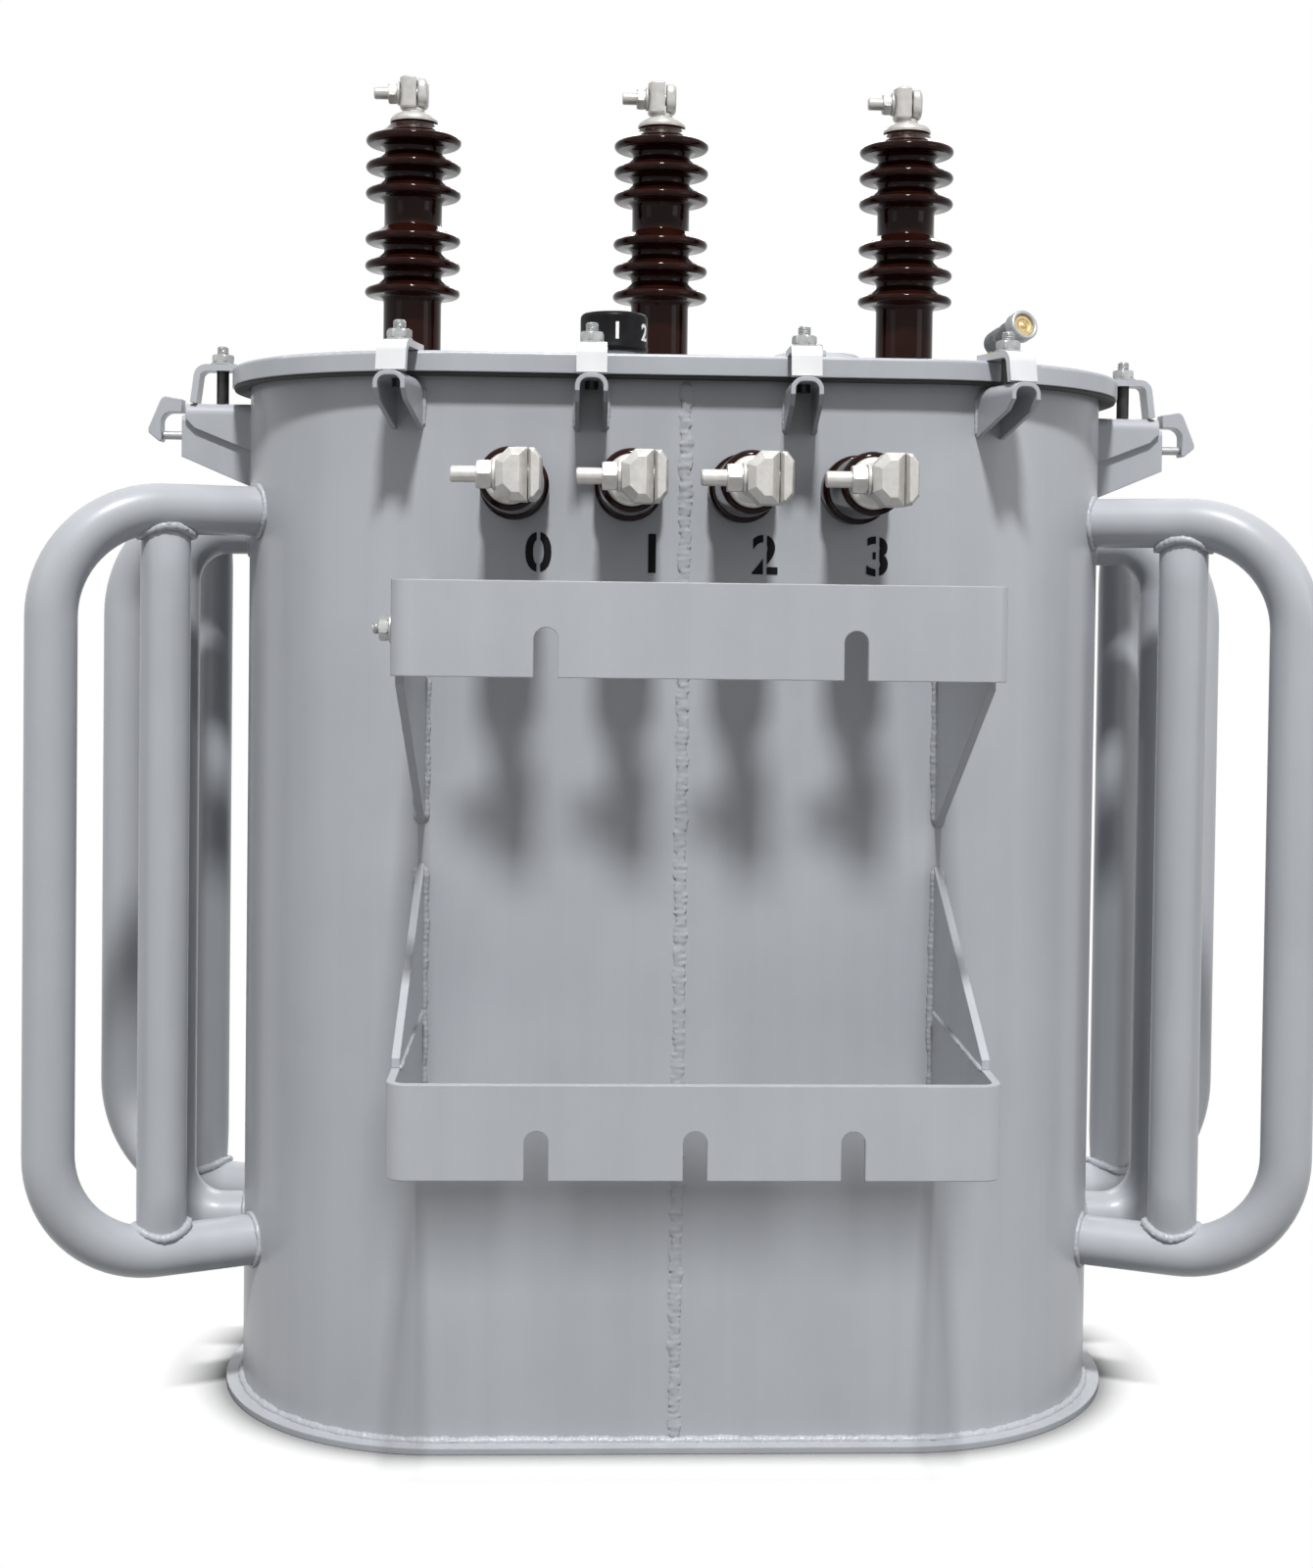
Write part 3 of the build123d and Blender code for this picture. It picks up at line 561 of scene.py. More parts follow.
class TRANSFORMER_OT_finishes(bpy.types.Operator):
    """Make the finishes and put them on the CAD nodes."""

    bl_idname = "transformer.finishes"
    bl_label = "Finishes"

    def execute(self, context):
        look = context.scene.transformer_finish
        self.enamels(look)
        self.castings(look)
        first_of = {slot: kind for kind, slot in reversed(SLOT_OF.items())}
        for part in frame["record"]["subparts"]:
            mesh = frame["nodes"][part["node"]].data
            mesh.materials.clear()
            kind = "jaw" if part["node"] == "lid_clamp_jaws" else first_of[part["material_slot"]]
            mesh.materials.append(FINISHES[kind])
        return {"FINISHED"}

    def enamels(self, look):
        """Paint, painted weld, and the clamp jaws' paint, pale along the rows and grey at the two ends."""
        coat = sprayed_coat()
        FINISHES["paint"] = finish(
            "grey_enamel", coat, {"Colour": opaque(look.paint), "Roughness": look.paint_gloss}, 0.1, 0.0006,
            {"Specular IOR Level": 0.32, "Coat Weight": 0.18, "Coat Roughness": 0.14}, 0.0016)
        FINISHES["weld"] = finish(
            "enamel_over_weld", coat,
            {"Colour": opaque(look.paint, 0.97), "Roughness": look.paint_gloss + 0.04, "Grain": 260.0}, 0.3, 0.0012,
            {"Specular IOR Level": 0.32, "Coat Weight": 0.18, "Coat Roughness": 0.18})
        FINISHES["jaw"] = finish(
            "clamp_jaw_enamel", coat, {"Roughness": look.paint_gloss + 0.05, "Mottle": 0.08}, 0.12, 0.0006,
            {"Coat Weight": 0.2, "Coat Roughness": 0.2})
        tree = FINISHES["jaw"].node_tree
        # Jaw colour: pale along the rows, turning to paint grey where |x| passes 0.36 to 0.38 m at the two ends
        at_end = spread(tree, maths(tree, "ABSOLUTE", one_axis(tree, object_point(tree), "X")), 0.36, 0.38)
        tint = blend(tree, at_end, (0.64, 0.65, 0.66, 1.0), opaque(look.paint, 1.05))
        source = next(made for made in tree.nodes if made.type == "GROUP")
        tree.links.new(tint, source.inputs["Colour"])

    def castings(self, look):
        """Metals, glaze, rubber and mouldings: material, inputs of the cast skin, bump, its depth, surface sockets."""
        skin_group = cast_skin()
        inputs = ("Light", "Dark", "Blotch scale", "Grain scale", "Roughness", "Spread")
        glaze, tin, zinc, brass, ink = look.porcelain, look.tin, look.zinc, look.brass, look.marks
        rows = {
            "porcelain": ("brown_glaze", (opaque(glaze, 1.5), opaque(glaze, 0.8), 22.0, 70.0, 0.1, 0.06), 0.05, 0.001,
                          {"Specular IOR Level": 0.1, "Coat Weight": 0.02, "Coat Roughness": 0.03}),
            "tin": ("tinned_casting", (opaque(tin), opaque(tin, 0.86), 140.0, 1400.0, 0.38, 0.12), 0.12, 0.0005,
                    {"Metallic": 0.35}),
            "alloy": ("dull_alloy_casting", (opaque(tin, 0.8), opaque(tin, 0.68), 140.0, 1400.0, 0.42, 0.12),
                      0.12, 0.0005, {"Metallic": 0.35}),
            "zinc": ("zinc_plate", (opaque(zinc), opaque(zinc, 0.84), 260.0, 1800.0, 0.4, 0.16), 0.14, 0.0005,
                     {"Metallic": 0.55}),
            "shank": ("black_shank", (
                (0.022, 0.021, 0.02, 1.0), (0.009, 0.009, 0.009, 1.0), 120.0, 1500.0, 0.46, 0.16), 0.12, 0.0005, {}),
            "rubber": ("gasket_rubber", (
                (0.03, 0.03, 0.03, 1.0), (0.018, 0.018, 0.018, 1.0), 80.0, 900.0, 0.72, 0.1), 0.2, 0.0006, {}),
            "dial": ("black_moulding", (
                (0.008, 0.008, 0.009, 1.0), (0.005, 0.005, 0.006, 1.0), 120.0, 1600.0, 0.4, 0.1), 0.1, 0.0004,
                {"Specular IOR Level": 0.1}),
            "white": ("white_numeral", (
                (0.86, 0.86, 0.84, 1.0), (0.74, 0.74, 0.72, 1.0), 300.0, 1500.0, 0.5, 0.1), 0.08, 0.0003, {}),
            "marks": ("black_stencil_paint", (opaque(ink, 1.6), opaque(ink), 160.0, 700.0, 0.75, 0.2), 0.12, 0.0005,
                      {"Specular IOR Level": 0.12}),
            "valve": ("dark_grey_valve", (
                (0.16, 0.165, 0.17, 1.0), (0.1, 0.105, 0.11, 1.0), 130.0, 1200.0, 0.36, 0.14), 0.1, 0.0004,
                {"Metallic": 0.3}),
            "brass": ("plain_brass", (opaque(brass), opaque(brass, 0.7), 190.0, 1500.0, 0.42, 0.14), 0.1, 0.0004,
                      {"Metallic": 0.6}),
        }
        for kind, (name, values, bump, depth, sockets) in rows.items():
            FINISHES[kind] = finish(name, skin_group, dict(zip(inputs, values)), bump, depth, sockets)


class TRANSFORMER_OT_porcelain(bpy.types.Operator):
    """Turn the glazed bushings: sheds with round rims above, short cups on the front wall."""

    bl_idname = "transformer.porcelain"
    bl_label = "Porcelain"

    def execute(self, context):
        sizes = context.scene.transformer_bushings
        tall = self.shedded(sizes)
        for name in HV_NAMES:
            mid = node_box(f"hv_bushing_{name}")[2]
            glazed = turned(tall, np.array([*mid[:2], LID_TOP]), UP, 96)
            place(f"hv_porcelain_{name}", [glazed], "porcelain", 60.0, [f"hv_bushing_{name}"])
        for name in LV_NAMES:
            low, _, mid = node_box(f"lv_bushing_{name}")
            glazed = turned(self.cup(sizes, FRONT - low[1]), np.array([mid[0], FRONT, mid[2]]), -BACK, 80)
            place(f"lv_porcelain_{name}", [glazed], "porcelain", 60.0, [f"lv_bushing_{name}"])
        return {"FINISHED"}

    def shedded(self, sizes):
        """Radius and height up a tall bushing: foot, two groups of three sheds with round rims, and the neck."""
        body, rim = sizes.body, sizes.rim
        hub = sizes.shed - rim
        span = 2 * sizes.shed_pitch + sizes.group_gap
        heights = [sizes.first_shed + group_no * span + step * sizes.shed_pitch
                   for group_no in range(2) for step in range(3)]
        profile = [[[0.037, 0.0], [0.037, 0.0085]], arc((0.0335, 0.0085), 0.0035, 0, 90, 5),
                   bend((0.0315, 0.012), (body, 0.012), (body, 0.016), 5)]
        for height in heights:
            under, back = height - rim, (hub + 0.0011, height + 0.97 * rim)
            profile += [bend((body, under - 0.0075), (body, under - 0.001), (body + 0.006, under)),
                        arc((hub, height), rim, -90, 74, 12),
                        bend(back, (body + 0.004, height + 0.0085), (body, height + 0.0138))]
        neck, shoulder = sizes.neck, sizes.top - 0.003
        profile[-1] = bend(back, (body + 0.002, height + 0.0085), (neck + 0.003, shoulder))
        return profile + [arc((neck - 0.001, shoulder), 0.003, 20, 90, 5)]

    def cup(self, sizes, reach):
        """Radius and length out of a short bushing: wide skirt, round step, narrower front with a round edge."""
        skirt, front, step = sizes.skirt, sizes.front, sizes.skirt_length
        return [
            [[skirt, 0.0], [skirt, step - 0.006]], arc((skirt - 0.004, step - 0.006), 0.004, 15, 80, 6),
            bend((front + 0.0012, step - 0.001), (front, step), (front, step + 0.004), 5),
            [[front, reach - 0.007]], arc((front - 0.006, reach - 0.006), 0.006, 15, 90, 8), [[0.016, reach]],
        ]


class TRANSFORMER_OT_terminals(bpy.types.Operator):
    """Cast clamp terminals with plain studs, nuts and washers on every bushing."""

    bl_idname = "transformer.terminals"
    bl_label = "Terminals"

    def execute(self, context):
        for row, names, build, metal in (("hv", HV_NAMES, self.high_voltage, "alloy"),
                                         ("lv", LV_NAMES, self.low_voltage, "tin")):
            jaws = []
            for name in names:
                casting, jaw = build(*node_box(f"{row}_bushing_{name}"))
                jaws.append(jaw)
                soften(place(f"{row}_casting_{name}", casting, metal, 30.0, [f"{row}_terminal_{name}"]), CAST_EDGE)
            soften(place(f"{row}_clamp_jaws", jaws, metal, 30.0, [f"{row}_clamp_plates"]), CAST_EDGE)
        return {"FINISHED"}

    def high_voltage(self, _, high, mid):
        """Cap, round-backed block, stud with nut and washer, and the clamp plate of one upper terminal."""
        center = np.array([*mid[:2], high[2]])
        middle = center + 0.03 * UP
        cap = [[[0.024, 0.0], [0.024, 0.0026]], bend((0.0237, 0.003), (0.021, 0.009), (0.012, 0.0102), 8),
               [[0.0105, 0.0106], [0.0105, 0.0145]]]
        block = np.vstack([
            [[0.0085, -0.013], [0.0085, 0.013]], bend((0.0, 0.013), (-0.0085, 0.0125), (-0.0085, 0.0035), 6),
            bend((-0.0085, -0.0035), (-0.0085, -0.0125), (0.0, -0.013), 6)])
        washer = [[0.0115, 0.0], [0.0118, 0.0008], [0.0118, 0.0019], [0.0115, 0.0025]]
        stud = [[0.0056, 0.0], [0.0062, 0.0006], [0.0062, 0.0437], [0.0052, 0.0447]]
        casting = [
            turned(cap, center, UP, 56),
            prism(block, center + np.array([-0.00575, 0, 0.014]), RIGHT, BACK,
                  [0.0, 0.0015, 0.0305, 0.032], [0.0015, 0.0, 0.0, 0.0015]),
            turned(washer, middle - 0.01425 * RIGHT, -RIGHT, 40),
            hexagon(middle - 0.01675 * RIGHT, -RIGHT, 0.02, 0.009, 0.005, 0.2),
            turned(stud, middle + 0.0045 * RIGHT, -RIGHT, 40),
        ]
        return casting, prism(rounded(0.0258, 0.0318, 0.012, 8), middle + 0.00425 * RIGHT, BACK, UP,
                              [0.0, 0.001, 0.0068, 0.009, 0.0099], [0.001, 0.0, 0.0, 0.0016, 0.0042])

    def low_voltage(self, low, _, mid):
        """Collar, neck, faceted block, stud with nut and washers, and the faceted jaw of one front terminal."""
        center = np.array([mid[0], low[1], mid[2]])
        middle = center + np.array([0.009, -0.051, 0])
        back = center + np.array([0.009, -0.029, 0])
        collar = [[[0.0212, 0.0]], arc((0.0195, 0.0022), 0.002, -10, 0, 2),
                  bend((0.0213, 0.003), (0.0205, 0.0068), (0.015, 0.007), 6), [[0.013, 0.0075], [0.013, 0.0295]]]
        block = [[0.00675, -0.021], [0.00675, 0.021], [-0.008, 0.021], [-0.01825, 0.0105],
                 [-0.01825, -0.0105], [-0.008, -0.021]]
        jaw = [[0.0125, -0.0205], [0.01825, -0.013], [0.01825, 0.013], [0.0125, 0.0205],
               [0.0076, 0.0205], [0.0076, -0.0205]]
        stud = [[0.006, 0.0], [0.0066, 0.0006], [0.0066, 0.0612], [0.0056, 0.0624]]
        casting = [
            turned(collar, center, -BACK, 56),
            prism(block, back, RIGHT, UP, [0.0, 0.003, 0.0365, 0.044], [0.003, 0.0, 0.0, 0.0062]),
            disc(middle - 0.01825 * RIGHT, -RIGHT, 0.0125, 0.0031, 0.0007, 0.0007, 48),
            hexagon(middle - 0.02135 * RIGHT, -RIGHT, 0.022, 0.0125, 0.005, 0.52),
            turned(stud, middle + 0.0082 * RIGHT, -RIGHT, 40),
            turned([[0.009, 0.0], [0.009, 0.0016]], middle + 0.0068 * RIGHT, RIGHT, 40),
        ]
        return casting, prism(jaw, back, RIGHT, UP, [0.0, 0.002, 0.0385, 0.044], [0.0012, 0.0, 0.0, 0.0022])


CAST_EDGE, HOOK_EDGE = 0.0007, 0.0022


def soften(made, width):
    """Narrow bevel along the sharp edges of a casting or fitting."""
    edge = made.modifiers.new("edge", "BEVEL")
    edge.width = width
    edge.segments = 2
    edge.limit_method = "ANGLE"
    edge.angle_limit = math.radians(28)
    edge.harden_normals = False


def clamp_stations(sizes):
    """Station, side and seat drop of the clamps of the front row, the rear row and the two ends."""
    spots = sizes.shift + sizes.pitch * (np.arange(sizes.row_count) - (sizes.row_count - 1) / 2)
    spots[sizes.row_count // 2 - 1] -= sizes.aside
    rows = [(spot, side, sizes.seat_drop) for side in (-1, 1) for spot in spots]
    return rows + [(hand * END_STATION, -1, sizes.end_seat_drop) for hand in SIDES.values()]


class TRANSFORMER_OT_lid_bolts(bpy.types.Operator):
    """Bolts, nuts and washers of the lid clamps."""

    bl_idname = "transformer.lid_bolts"
    bl_label = "Lid bolts"

    def execute(self, context):
        sizes = context.scene.transformer_clamps
        radius, thick = sizes.bolt_radius - 0.0002, 0.002
        nuts, shanks = [], []
        for number, (station, side, drop) in enumerate(clamp_stations(sizes)):
            point, normal = wall_point(station, side)
            top = point + sizes.bolt_reach * normal + np.array([0, 0, LID_TOP + sizes.bar])
            foot = LID_TOP - drop - sizes.seat_bend
            nuts += [
                disc(top, UP, 0.0118, thick, 0.0008, 0.0005, 36),
                hexagon(top + thick * UP, UP, sizes.nut_width, sizes.nut_height - thick, 0.005, 0.37 * number),
                threaded(top + (sizes.nut_height - 0.001) * UP, UP, radius, sizes.bolt_rise - sizes.nut_height + 0.001),
            ]
            shanks.append(turned([[radius, 0.0], [radius, top[2] - foot]], np.array([*top[:2], foot]), UP, 28))
        place("lid_clamp_nuts", nuts, "zinc", 30.0, ["lid_clamp_bolts"])
        place("lid_clamp_shanks", shanks, "shank", 40.0)
        return {"FINISHED"}


def loop_path(start, reach, radius, top, bottom):
    """Plan offset and height along a loop: leg out, quarter bend, run down, quarter bend, leg back."""
    hub = reach - radius
    return np.vstack([
        np.stack([np.linspace(start, hub, 6), np.full(6, top)], -1)[:-1],
        arc((hub, top - radius), radius, 90, 0, 20),
        np.stack([np.full(10, reach), np.linspace(top - radius, bottom + radius, 10)], -1)[1:-1],
        arc((hub, bottom + radius), radius, 0, -90, 20),
        np.stack([np.linspace(hub, start, 6), np.full(6, bottom)], -1)[1:],
    ])


ROUND = np.linspace(0, 2 * np.pi, 97)[:-1]
ROUND_COS, ROUND_SIN = np.cos(ROUND), np.sin(ROUND)


class TRANSFORMER_OT_radiators(bpy.types.Operator):
    """Smooth radiator tubes with weld collars at the wall and at the risers' joints."""

    bl_idname = "transformer.radiators"
    bl_label = "Radiators"

    def execute(self, context):
        sizes = context.scene.transformer_tubes
        welds = []
        for name, hand in SIDES.items():
            risers = []
            for row, turn in (("front", -sizes.fan), ("middle", 0.0), ("rear", sizes.fan)):
                out = np.array([hand * math.cos(turn), math.sin(turn), 0.0])
                side = np.array([-math.sin(turn) * hand, math.cos(turn), 0.0])
                root = np.array([hand * END_CENTER, 0.0, 0.0]) + END_RADIUS * out
                outer = row != "middle"
                top, bottom = (sizes.top, sizes.bottom) if outer else (sizes.middle_top, sizes.middle_bottom)
                reach, radius = (sizes.reach, sizes.bend) if outer else (sizes.middle_reach, sizes.middle_bend)
                flat = loop_path(-0.004, reach, radius, top, bottom)
                path = root + flat[:, :1] * out + flat[:, 1:] * UP
                place(f"radiator_{name}_{row}_tube", [tube(path, sizes.radius, side, 48)], "paint", 40.0,
                      [f"radiator_{name}_{row}_loop"])
                welds += self.collars(sizes, root, out, side, (top, bottom))
                if outer:
                    foot = root + sizes.riser_reach * out
                    risers.append(self.riser(sizes, foot, out, side))
                    welds += self.joints(sizes, foot, out, side)
            place(f"radiator_{name}_riser_tubes", risers, "paint", 40.0, [f"radiator_{name}_risers"])
        place("radiator_welds", welds, "weld", 60.0)
        return {"FINISHED"}

    def collars(self, sizes, root, out, side, heights):
        """Beads where a loop meets the round wall, set back by R - sqrt(R^2 - (r cos a)^2)."""
        across = sizes.radius * ROUND_COS
        saddle = np.sqrt(END_RADIUS ** 2 - across ** 2) - END_RADIUS
        away = np.outer(ROUND_COS, side) + np.outer(ROUND_SIN, UP) + 0.8 * out
        return [bead(root + np.outer(saddle + 0.0006, out) + np.outer(across * 1.03, side)
                     + np.outer(height + sizes.radius * 1.03 * ROUND_SIN, UP), 0.0027, away, 11 + number, True)
                for number, height in enumerate(heights)]

    def riser(self, sizes, foot, out, side):
        """Upright tube foot + h up + r cos a out + d(h) sin a side, whose depth d is pinched near both ends."""
        top, bottom = sizes.top, sizes.bottom
        heights = np.concatenate([np.linspace(bottom, bottom + 0.06, 14), np.linspace(top - 0.06, top, 14)])
        near_end = np.minimum(heights - bottom, top - heights)
        deep = sizes.riser - sizes.pinch * np.clip((0.055 - near_end) / 0.035, 0, 1) ** 1.5
        shape = ROUND_COS[:, None] * sizes.riser * out + deep[:, None, None] * ROUND_SIN[:, None] * side
        return skin(foot + heights[:, None, None] * UP + shape)

    def joints(self, sizes, foot, out, side):
        """Beads where a riser sits on its legs, at height sqrt(r^2 - (p sin a)^2) from each leg's axis."""
        pinched = sizes.riser - sizes.pinch
        dip = np.sqrt(sizes.radius ** 2 - (pinched * ROUND_SIN) ** 2)
        welds = []
        for height, sign in ((sizes.top, -1), (sizes.bottom, 1)):
            joint = (foot + np.outer(sizes.riser * 1.09 * ROUND_COS, out) + np.outer(pinched * 1.05 * ROUND_SIN, side)
                     + np.outer(height + sign * (dip + 0.001), UP))
            away = np.outer(ROUND_COS, out) + np.outer(ROUND_SIN, side) + sign * 0.8 * UP
            welds.append(bead(joint, 0.0042, away, 23, True))
        return welds


class TRANSFORMER_OT_gasket_lip_and_shade(bpy.types.Operator):
    """Black lip of the lid's gasket, pressed out under the skirt all round; its black is also painted shade under the
    skirt.
    """

    bl_idname = "transformer.gasket_lip"
    bl_label = "Gasket lip and shade"

    def execute(self, context):
        low, high, _ = node_box("lid")
        reach = high[1] - END_RADIUS
        angle = np.radians(np.linspace(-90, 90, 90))
        end = np.stack([np.cos(angle), np.sin(angle)], -1)
        normals = np.vstack([end, -end])
        hubs = np.repeat([[END_CENTER, 0.0], [-END_CENTER, 0.0]], len(end), 0)
        profile = np.array([[0.0006, -0.0012], [reach - 0.005, -0.004], [reach - 0.0022, -0.003],
                            [reach - 0.0015, 0.0], [reach - 0.0042, 0.004], [0.0006, 0.004]])
        plan = hubs[:, None, :] + (END_RADIUS + profile[:, :1]) * normals[:, None, :]
        height = np.broadcast_to(low[2] + profile[:, 1:], (len(normals), len(profile), 1))
        # Partly a real gasket lip, partly painted shade: the black sheet under the skirt stands in for the lid's shadow
        place("gasket_lip_and_shade", [skin(np.concatenate([plan, height], -1), True)], "rubber", 50.0)
        return {"FINISHED"}


class TRANSFORMER_OT_welds(bpy.types.Operator):
    """Weld beads round the base, down the front and rear seams, and at the brackets, channels and lugs."""

    bl_idname = "transformer.welds"
    bl_label = "Welds"

    def execute(self, context):
        self.base()
        self.seams()
        self.brackets()
        self.channels(context.scene.transformer_clamps)
        return {"FINISHED"}

    def base(self):
        """Bead along the tank's oval: two half circles joined by two straight runs."""
        angle = np.radians(np.linspace(-90, 90, 420))
        end = np.stack([END_CENTER + END_RADIUS * np.cos(angle), END_RADIUS * np.sin(angle)], -1)
        straight = along_line([END_CENTER, END_RADIUS], [-END_CENTER, END_RADIUS])[1:-1]
        oval = np.vstack([end, straight, -end, -straight])
        foot = np.hstack([oval, np.full((len(oval), 1), BASE_TOP)])
        place("base_weld", [bead(foot, 0.0042, UP, 3, True)], "weld", 60.0)

    def seams(self):
        """Flat upright beads in the middle of the front and of the back."""
        front = along_line([0, FRONT, BASE_TOP + 0.001], [0, FRONT, LID_TOP - 0.021])
        seams = [bead(line, 0.0052, RIGHT, seed, flat=0.34, rough=0.14, lumpy=0.34)
                 for line, seed in ((front, 5), (front * np.array([1, -1, 1]), 6))]
        place("seam_weld", seams, "weld", 60.0)

    def brackets(self):
        """Beads down both faces of every gusset at the wall, and under or over the strap where it laps a gusset."""
        thick = 0.0065
        strips = []
        for row in ("upper", "lower"):
            gusset_low, gusset_high, _ = node_box(f"{row}_gussets")
            strap_low, strap_high, _ = node_box(f"pole_bracket_{row}")
            low = min(gusset_low[2], strap_low[2]) + 0.002
            high = max(gusset_high[2], strap_high[2]) - 0.002
            edge = strap_low[2] if row == "upper" else strap_high[2]
            for hand in SIDES.values():
                for face, seed in ((gusset_high[0] - thick, 31), (gusset_high[0], 37)):
                    wall = -math.sqrt(END_RADIUS ** 2 - max(face - END_CENTER, 0.0) ** 2)
                    line = along_line([hand * face, wall, low], [hand * face, wall, high])
                    strips.append(bead(line, 0.004, RIGHT, seed + hand))
                face = hand * (gusset_high[0] - thick)
                lap = along_line([face, FRONT - 0.01, edge], [face, gusset_low[1], edge])
                strips.append(bead(lap, 0.0022, UP, 41 + hand))
        place("bracket_welds", strips, "weld", 60.0)

    def channels(self, clamps):
        """Beads down both edges of the clamps' channels, and of the lifting lugs below those at the ends."""
        seats = []
        for station, side, drop in clamp_stations(clamps):
            runs = [(drop, 0.045, 0.014)]
            if abs(station) == END_STATION:
                runs.append((drop + 0.052, 0.027, 0.0117))
            for start, depth, half in runs:
                for edge in (-half, half):
                    point, normal = wall_point(station + edge, side)
                    top = point + (LID_TOP - start - 0.009) * UP
                    line = along_line(top, top - (depth - 0.011) * UP)
                    seats.append(bead(line, 0.0024, np.cross(normal, UP), 53))
        place("channel_welds", seats, "weld", 60.0)


def numeral(text, size, depth, bridge=0.0):
    """Flat numeral as a mesh, centred, with an optional stencil bridge cut down its middle."""
    curve = bpy.data.curves.new("numeral", "FONT")
    curve.body = text
    curve.size = size
    curve.extrude = depth / 2
    curve.offset = 0.022 * size
    curve.resolution_u = 6
    curve.align_x = "CENTER"
    curve.align_y = "CENTER"
    carrier = bpy.data.objects.new("numeral", curve)
    mesh = bpy.data.meshes.new_from_object(carrier)
    bpy.data.objects.remove(carrier)
    bpy.data.curves.remove(curve)
    shape = bmesh.new()
    shape.from_mesh(mesh)
    bmesh.ops.remove_doubles(shape, verts=shape.verts, dist=1e-6)
    if bridge:
        for sign in (-1, 1):
            bmesh.ops.bisect_plane(shape, geom=shape.verts[:] + shape.edges[:] + shape.faces[:],
                                   plane_co=(sign * bridge / 2, 0, 0), plane_no=(1, 0, 0))
        inside = [face for face in shape.faces if abs(face.calc_center_median().x) < bridge / 2 - 1e-6]
        bmesh.ops.delete(shape, geom=inside, context="FACES")
        bmesh.ops.holes_fill(shape, edges=shape.edges, sides=8)
        bmesh.ops.recalc_face_normals(shape, faces=shape.faces)
    shape.to_mesh(mesh)
    shape.free()
    return mesh


class TRANSFORMER_OT_marks(bpy.types.Operator):
    """Plain stencilled numerals under the front bushings."""

    bl_idname = "transformer.marks"
    bl_label = "Stencilled numerals"

    def execute(self, context):
        size, thick, bridge, aside, below = 0.047, 0.0004, 0.0032, 0.021, 0.029
        for name in LV_NAMES:
            low, _, mid = node_box(f"lv_bushing_{name}")
            mesh = numeral(name, size, thick, 0.0 if name == "1" else bridge)
            spot = Matrix.Translation((mid[0] + aside, FRONT - 0.0003, low[2] - below))
            mesh.transform(spot @ Matrix.Rotation(math.radians(90), 4, "X"))
            adopt(f"stencil_{name}", mesh, "marks")
        return {"FINISHED"}


